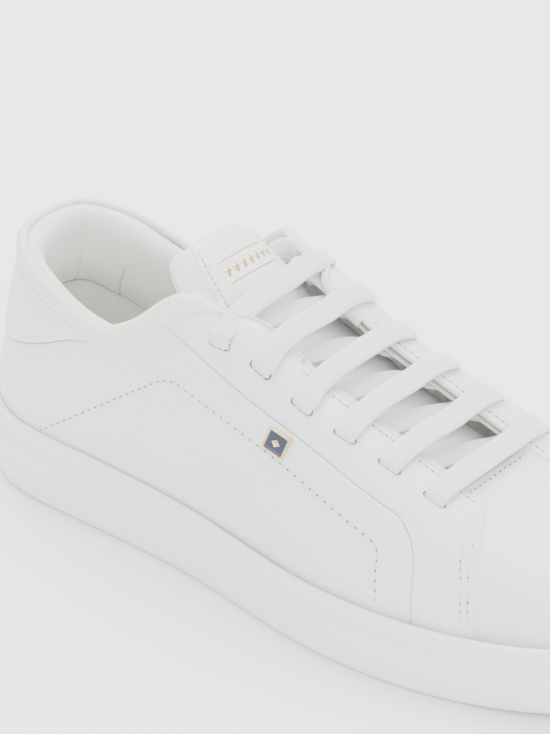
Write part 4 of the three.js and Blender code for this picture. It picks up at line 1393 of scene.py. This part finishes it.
def lace_mesh():
    stops = lace_stops()
    table = np.array([np.concatenate([p, w, [s]]) for p, w, n, s in stops])
    path = spline_through(table)
    run = lengths(path[:, :3])
    count = int(run[-1] / LACE_STEP)
    at = np.linspace(0, run[-1], count)
    rows = np.stack([np.interp(at, run, path[:, k]) for k in range(7)], -1)
    p, wide = rows[:, :3], rows[:, 3:6]
    squeeze = rows[:, 6]
    ahead = np.gradient(p, axis=0)
    ahead /= np.linalg.norm(ahead, axis=1, keepdims=True)
    wide -= np.sum(wide * ahead, 1, keepdims=True) * ahead
    wide /= np.linalg.norm(wide, axis=1, keepdims=True)
    face = np.cross(ahead, wide)
    turn = np.linspace(0, 2 * math.pi, LACE_AROUND, endpoint=False)
    cos, sin = np.cos(turn), np.sin(turn)
    u = np.sign(cos) * np.abs(cos) ** 0.75
    v = np.sign(sin) * np.abs(sin) ** 0.62
    phase = (at[:, None] / CHEVRON_PITCH + np.abs(u)[None] * 1.9) * 2 * math.pi
    ridge = CHEVRON_HIGH * np.cos(phase) * smooth((1 - np.abs(u)) / 0.15)[None]
    valley = -0.12 * np.exp(-((u / 0.07) ** 2))[None]
    half_wide = (LACE_WIDE / 2 * squeeze)[:, None] * u[None]
    half_thick = (LACE_THICK / 2 * (2 - squeeze))[:, None] * v[None]
    swell = half_thick + np.sign(v)[None] * (ridge + valley) * smooth(np.abs(v) / 0.5)[None]
    rings = p[:, None] + wide[:, None] * half_wide[..., None] + face[:, None] * swell[..., None]
    return closed_sweep(rings)


def spline_through(table):
    """A smooth curve through rows of numbers, twelve steps between two rows."""
    p = np.vstack([2 * table[0] - table[1], table, 2 * table[-1] - table[-2]])
    out = []
    for i in range(1, len(p) - 2):
        a, b, c, d = p[i - 1], p[i], p[i + 1], p[i + 2]
        ka = max(np.linalg.norm(b[:3] - a[:3]), 1e-6) ** 0.5
        kb = max(np.linalg.norm(c[:3] - b[:3]), 1e-6) ** 0.5
        kc = max(np.linalg.norm(d[:3] - c[:3]), 1e-6) ** 0.5
        m1 = (c - b) + kb * ((b - a) / ka - (c - a) / (ka + kb))
        m2 = (c - b) + kb * ((d - c) / kc - (d - b) / (kb + kc))
        f = np.linspace(0, 1, 12, endpoint=False)[:, None]
        out.append((2 * f**3 - 3 * f**2 + 1) * b + (f**3 - 2 * f**2 + f) * m1
                   + (3 * f**2 - 2 * f**3) * c + (f**3 - f**2) * m2)
    out.append(table[-1:])
    return np.vstack(out)


def lace_material():
    material, tree, shader = blank_material(
        "lace_weave", LACE_WHITE, 0.85, Specular_IOR_Level=0.3, Sheen_Weight=0.25, Sheen_Roughness=0.4)
    handled(tree, shader, LACE_WHITE, 0.84, 0.05, 45.0)
    place = add_node(tree, "ShaderNodeTexCoord")
    yarn = add_node(tree, "ShaderNodeTexNoise", Scale=3200.0, Detail=3.0)
    wire(tree, place, "Object", yarn, "Vector")
    bump_from(tree, shader, yarn, "Fac", 0.35, 0.0002)
    return material


points, faces = lace_mesh()
LACE_WEAVE = lace_material()
lace_piece = piece("flat_lace", points, faces, LACE_WEAVE, stands_for=["lace"])
facing_out(lace_piece)

# ------------------------------------------------------------------ lace tips
# The clear plastic sleeves crimped on the lace's two ends, tucked inside the shoe.
def tip_material():
    material, tree, shader = blank_material(
        "clear_tip", (0.9, 0.9, 0.9), 0.2, Coat_Weight=0.3, IOR=1.49)
    handled(tree, shader, (0.88, 0.88, 0.87), 0.2, 0.04, 200.0)
    place = add_node(tree, "ShaderNodeTexCoord")
    crimp = add_node(tree, "ShaderNodeTexWave", Scale=500.0, Distortion=0.5)
    wire(tree, place, "Object", crimp, "Vector")
    bump_from(tree, shader, crimp, "Fac", 0.2, 0.0002)
    return material


TIP = tip_material()
for node in ("lace_tip_lateral", "lace_tip_medial"):
    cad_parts[node].data.materials.clear()
    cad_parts[node].data.materials.append(TIP)

# ------------------------------------------------------------------ badge
# A small gilt pin on the outer quarter: a framed plate filled with dark enamel, with
# a plain lozenge standing in the middle, riveted through the leather.
BADGE_SPOT = (143.5, 64.5)
BADGE_ALONG = (0.97, 0.0, -0.24)
BADGE_HALF = (4.4, 3.9)
BADGE_CORNER = 0.9
BADGE_FRAME = [(0.0, -0.8), (0.0, 0.75), (0.1, 0.93), (0.3, 1.0), (0.62, 1.0), (0.78, 0.92), (0.85, 0.7)]
ENAMEL_FILL = [(0.87, 0.5), (0.87, 0.74), (1.1, 0.86), (1.9, 0.92)]
GILT = (0.83, 0.61, 0.30)
ENAMEL_NAVY = (0.012, 0.02, 0.055)


def rounded_outline(half, inset, radius, count=9):
    """A rounded rectangle, drawn in by an inset."""
    a, b = half[0] - inset, half[1] - inset
    radius = max(radius - 0.6 * inset, 0.12)
    turn = np.linspace(0, math.pi / 2, count)
    points = []
    for k, (sx, sy) in enumerate([(1, 1), (-1, 1), (-1, -1), (1, -1)]):
        angle = turn + k * math.pi / 2
        x = sx * (a - radius) + radius * np.cos(angle)
        y = sy * (b - radius) + radius * np.sin(angle)
        points.append(np.stack([x, y], -1))
    return np.concatenate(points)


badge_place = from_side([BADGE_SPOT], -1)[0]
badge_centre = surface(*badge_place)
badge_out = normal(*badge_place)
badge_along = np.array(BADGE_ALONG) - np.dot(BADGE_ALONG, badge_out) * badge_out
badge_along /= np.linalg.norm(badge_along)
badge_up = np.cross(badge_out, badge_along)


def on_badge(flat, height):
    return badge_centre + flat[:, :1] * badge_along + flat[:, 1:] * badge_up + badge_out * height


def metal_material():
    material, tree, shader = blank_material("gilt_metal", GILT, 0.22, Metallic=1.0)
    handled(tree, shader, GILT, 0.2, 0.05, 300.0)
    place = add_node(tree, "ShaderNodeTexCoord")
    brushed = add_node(tree, "ShaderNodeTexNoise", Scale=4000.0, Detail=2.0)
    wire(tree, place, "Object", brushed, "Vector")
    bump_from(tree, shader, brushed, "Fac", 0.1, 0.00005)
    return material


def enamel_material():
    material, tree, shader = blank_material(
        "dark_enamel", ENAMEL_NAVY, 0.12, Coat_Weight=0.6, Coat_Roughness=0.05)
    handled(tree, shader, ENAMEL_NAVY, 0.12, 0.2, 400.0)
    place = add_node(tree, "ShaderNodeTexCoord")
    flow = add_node(tree, "ShaderNodeTexNoise", Scale=500.0, Detail=1.0)
    wire(tree, place, "Object", flow, "Vector")
    bump_from(tree, shader, flow, "Fac", 0.08, 0.0001)
    return material


def joined(parts):
    """Several closed bodies as one list of points and faces."""
    points = []
    faces = []
    for some, theirs in parts:
        base = len(points)
        points += [tuple(p) for p in some]
        faces += [[base + v for v in f] for f in theirs]
    return points, faces


gem = np.array([(1.7, 0), (0, 1.25), (-1.7, 0), (0, -1.25)])
def badge_body(levels):
    """A closed body of rounded outlines, each drawn in by an inset and set at a height."""
    rings = [on_badge(rounded_outline(BADGE_HALF, inset, BADGE_CORNER), up) for inset, up in levels]
    return closed_sweep(rings)


plate = badge_body(BADGE_FRAME)
lozenge = closed_sweep([on_badge(gem * size, up) for size, up in [(1, 0.6), (1, 1.0), (0.86, 1.08)]])
points, faces = joined([plate, lozenge])
GILT_METAL = metal_material()
facing_out(piece("badge_frame", points, faces, GILT_METAL,
                 stands_for=["badge_plate"], crease=35))
points, faces = badge_body(ENAMEL_FILL)
facing_out(piece("badge_fill", points, faces, enamel_material(),
                 stands_for=["badge_enamel"], crease=35))

# ------------------------------------------------------------------ stitching
# White polyester lockstitch, pulled a little into the leather, with a flat dark disc of painted
#  shade standing for the needle hole at each end of every stitch: a line over each quarter, two rows down the
#  front of each facing, one along the throat, one across the back of the vamp and one round the tongue's
#  patch.
THREAD = 0.30
THREAD_WHITE = (0.74, 0.735, 0.74)
# HOLE_SHADE is painted shade: the dark grey of the discs that stand for the needle holes.
HOLE_SHADE = (0.16, 0.155, 0.16)
STITCH_APEX = (95, 69)
STITCH_CORNER = (187.5, 46)


def skin_of(*names):
    """The faces of some pieces, ready for rays, in millimetres from the heel."""
    points = []
    faces = []
    for name in names:
        data = bpy.data.objects[name].data
        base = len(points)
        points += [Vector(v.co) * 1000 + Vector((HEEL_X, -SIDE_SHIFT, 0)) for v in data.vertices]
        faces += [[base + v for v in f.vertices] for f in data.polygons]
    return BVHTree.FromPolygons(points, faces)


def onto(skin, point, out, lift):
    """The point dropped on the skin along its way out, then lifted off it."""
    hit = skin.ray_cast(Vector(point + out * 7), Vector(-out), 14)[0]
    return None if hit is None else np.array(hit) + out * lift


def stitch_row(skin, path, outs, pitch):
    """Stitches along a path of points with the way out at each, and a flat dark disc of painted shade for the
    needle hole at each stitch end.
    """
    run = lengths(path)
    threads = []
    painted_hole_shades = []
    for k in range(int(run[-1] / pitch)):
        at = (k + np.linspace(0.12, 0.88, 5)) * pitch
        line = np.stack([np.interp(at, run, path[:, i]) for i in range(3)], -1)
        way = np.stack([np.interp(at, run, outs[:, i]) for i in range(3)], -1)
        way /= np.linalg.norm(way, axis=1, keepdims=True)
        arch = THREAD * (1.25 * np.sin(np.linspace(0, math.pi, 5)) - 0.55)
        spots = [onto(skin, line[i], way[i], arch[i]) for i in range(5)]
        if any(spot is None for spot in spots):
            continue
        spots = np.array(spots)
        ahead = spots[-1] - spots[0]
        ahead /= np.linalg.norm(ahead)
        rings = []
        for i in range(5):
            across = np.cross(way[i], ahead)
            thick = THREAD * (0.55 + 0.45 * math.sin(math.pi * i / 4))
            turn = np.linspace(0, 2 * math.pi, 7)[:-1, None]
            rings.append(spots[i] + thick * (np.cos(turn) * across + np.sin(turn) * way[i]))
        threads.append(closed_sweep(rings))
        # At each stitch end a flat dark disc lies on the leather: painted shade standing for the needle hole,
        # which is not cut.
        for i in (0, 4):
            middle = onto(skin, line[i] + (line[i] - line[2]) * 0.16, way[i], 0.03)
            if middle is not None:
                across = np.cross(way[i], ahead)
                turn = np.linspace(0, 2 * math.pi, 9)[:-1, None]
                rim = middle + 0.34 * (np.cos(turn) * across + np.sin(turn) * ahead)
                painted_hole_shades.append(closed_sweep([rim - way[i] * 0.3, rim]))
    return threads, painted_hole_shades


def thread_material(name, color):
    material, tree, shader = blank_material(name, color, 0.7, Specular_IOR_Level=0.35, Sheen_Weight=0.15)
    handled(tree, shader, color, 0.7, 0.05, 80.0)
    place = add_node(tree, "ShaderNodeTexCoord")
    twist = add_node(tree, "ShaderNodeTexWave", Scale=900.0, Distortion=1.0)
    wire(tree, place, "Object", twist, "Vector")
    bump_from(tree, shader, twist, "Fac", 0.3, 0.0001)
    return material


THREAD_FINISH = thread_material("sewing_thread", THREAD_WHITE)
# Finish of the needle-hole discs: dark grey painted shade, not a colour of the leather.
PAINTED_HOLE_SHADE_FINISH = thread_material("needle_hole_painted_shade", HOLE_SHADE)


def sew(name, rows, body="shoe"):
    threads = [t for row in rows for t in row[0]]
    painted_hole_shades = [h for row in rows for h in row[1]]
    for label, parts, finish in (("stitches", threads, THREAD_FINISH), ("painted_hole_shades", painted_hole_shades, PAINTED_HOLE_SHADE_FINISH)):
        points, faces = joined(parts)
        facing_out(piece(f"{name}_{label}", points, faces, finish, body=body))


def along_places(places):
    return surface(places[:, 0], places[:, 1]), normal(places[:, 0], places[:, 1])


# Up from the sole in a straight line, over a rounded apex, gently down along the
# quarter, round a corner and down to the sole again.
stitch_rise = resample([(38, 27.5), STITCH_APEX], 80)
stitch_run = spline([STITCH_APEX, (140, 60.5), STITCH_CORNER], 140)
stitch_fall = resample([STITCH_CORNER, (189, 26)], 40)
quarter_line = np.vstack([stitch_rise, stitch_run[1:], stitch_fall[1:]])
quarter_line = rounded(rounded(quarter_line, STITCH_APEX, 7), STITCH_CORNER, 4)

for name, side in SIDE.items():
    quarter_skin = skin_of(f"quarter_{name}_leather")
    facing_skin = skin_of(f"eyestay_{name}_leather")
    rows = [stitch_row(quarter_skin, *along_places(from_side(resample(quarter_line, 200), side)), 3.4)]
    for inset in (2.0, 4.3):
        front = spline(FRONT_EDGE[:-1], 80) - (inset, 0)
        rows.append(stitch_row(facing_skin, *along_places(from_side(front[front[:, 1] < 50], side)), 2.7))
    throat = from_plan(np.linspace(140, 207, 120), np.full(120, HALF_THROAT + 2.5), side)
    rows.append(stitch_row(facing_skin, *along_places(throat), 2.7))
    sew(name, rows)

across = np.linspace(-HALF_THROAT + 1, HALF_THROAT - 1, 60)
back_row = from_plan(np.full(60, VAMP_BACK + 2.4), across, 1)
back_out = np.tile((0.38, 0.0, 0.92), (60, 1))
back_points = surface(back_row[:, 0], back_row[:, 1])
sew("vamp", [stitch_row(skin_of("vamp_leather"), back_points, back_out, 2.7)])

patch_inset = (1.8 / 135, 1.8 / 26)
s_low, s_high = PATCH_S[0] + patch_inset[0], PATCH_S[1] - 2 * patch_inset[0]
q_low, q_high = PATCH_Q[0] + patch_inset[1], PATCH_Q[1] - patch_inset[1]
border = np.array([(s_high, q_low), (s_low, q_low), (s_low, q_high), (s_high, q_high)])
border = resample(border, 300)
border_points = tongue_point(border[:, 0], border[:, 1], 0.0)
border_out = border_points - tongue_point(border[:, 0], border[:, 1], 1.0)
patch_skin = skin_of("tongue_patch")
sew("patch", [stitch_row(patch_skin, border_points, border_out, 2.2)], body="tongue")

# ------------------------------------------------------------------ patch motif
# A plain ornament foil-stamped in gold on the tongue's patch: a row of small lozenges
# between two thin lines.
FOIL = 0.06
FOIL_GOLD = (0.80, 0.64, 0.26)
MOTIF_Q = (-0.46, 0.64)
MOTIF_S = (0.862, 0.892, 0.922)
GEM_HALF = (0.0145, 0.058)
LINE_HALF = 0.0022


def foil_shape(outline_sq):
    """A thin plate of foil over the patch, from an outline in the tongue's own directions."""
    rim = tongue_point(outline_sq[:, 0], outline_sq[:, 1], 0.0)
    out = rim - tongue_point(outline_sq[:, 0], outline_sq[:, 1], 1.0)
    low = np.array([onto(patch_skin, p, n, -0.1) for p, n in zip(rim, out)])
    high = np.array([onto(patch_skin, p, n, FOIL) for p, n in zip(rim, out)])
    return closed_sweep([low, high])


def foil_motif():
    parts = []
    for centre in np.linspace(MOTIF_Q[0] + 0.06, MOTIF_Q[1] - 0.06, 7):
        turn = np.linspace(0, 2 * math.pi, 5)[:-1]
        s = MOTIF_S[1] + GEM_HALF[0] * np.cos(turn)
        parts.append(foil_shape(np.stack([s, centre + GEM_HALF[1] * np.sin(turn)], -1)))
    for s in (MOTIF_S[0], MOTIF_S[2]):
        q = np.linspace(*MOTIF_Q, 24)
        for a, b in zip(q[:-1], q[1:]):
            low, high = s - LINE_HALF, s + LINE_HALF
            parts.append(foil_shape(np.array([(low, a), (high, a), (high, b), (low, b)])))
    return joined(parts)


points, faces = foil_motif()
foil_material = blank_material("gold_foil", FOIL_GOLD, 0.3, Metallic=1.0)
handled(foil_material[1], foil_material[2], FOIL_GOLD, 0.3, 0.06, 500.0)
facing_out(piece("patch_motif", points, faces, foil_material[0], body="tongue"))
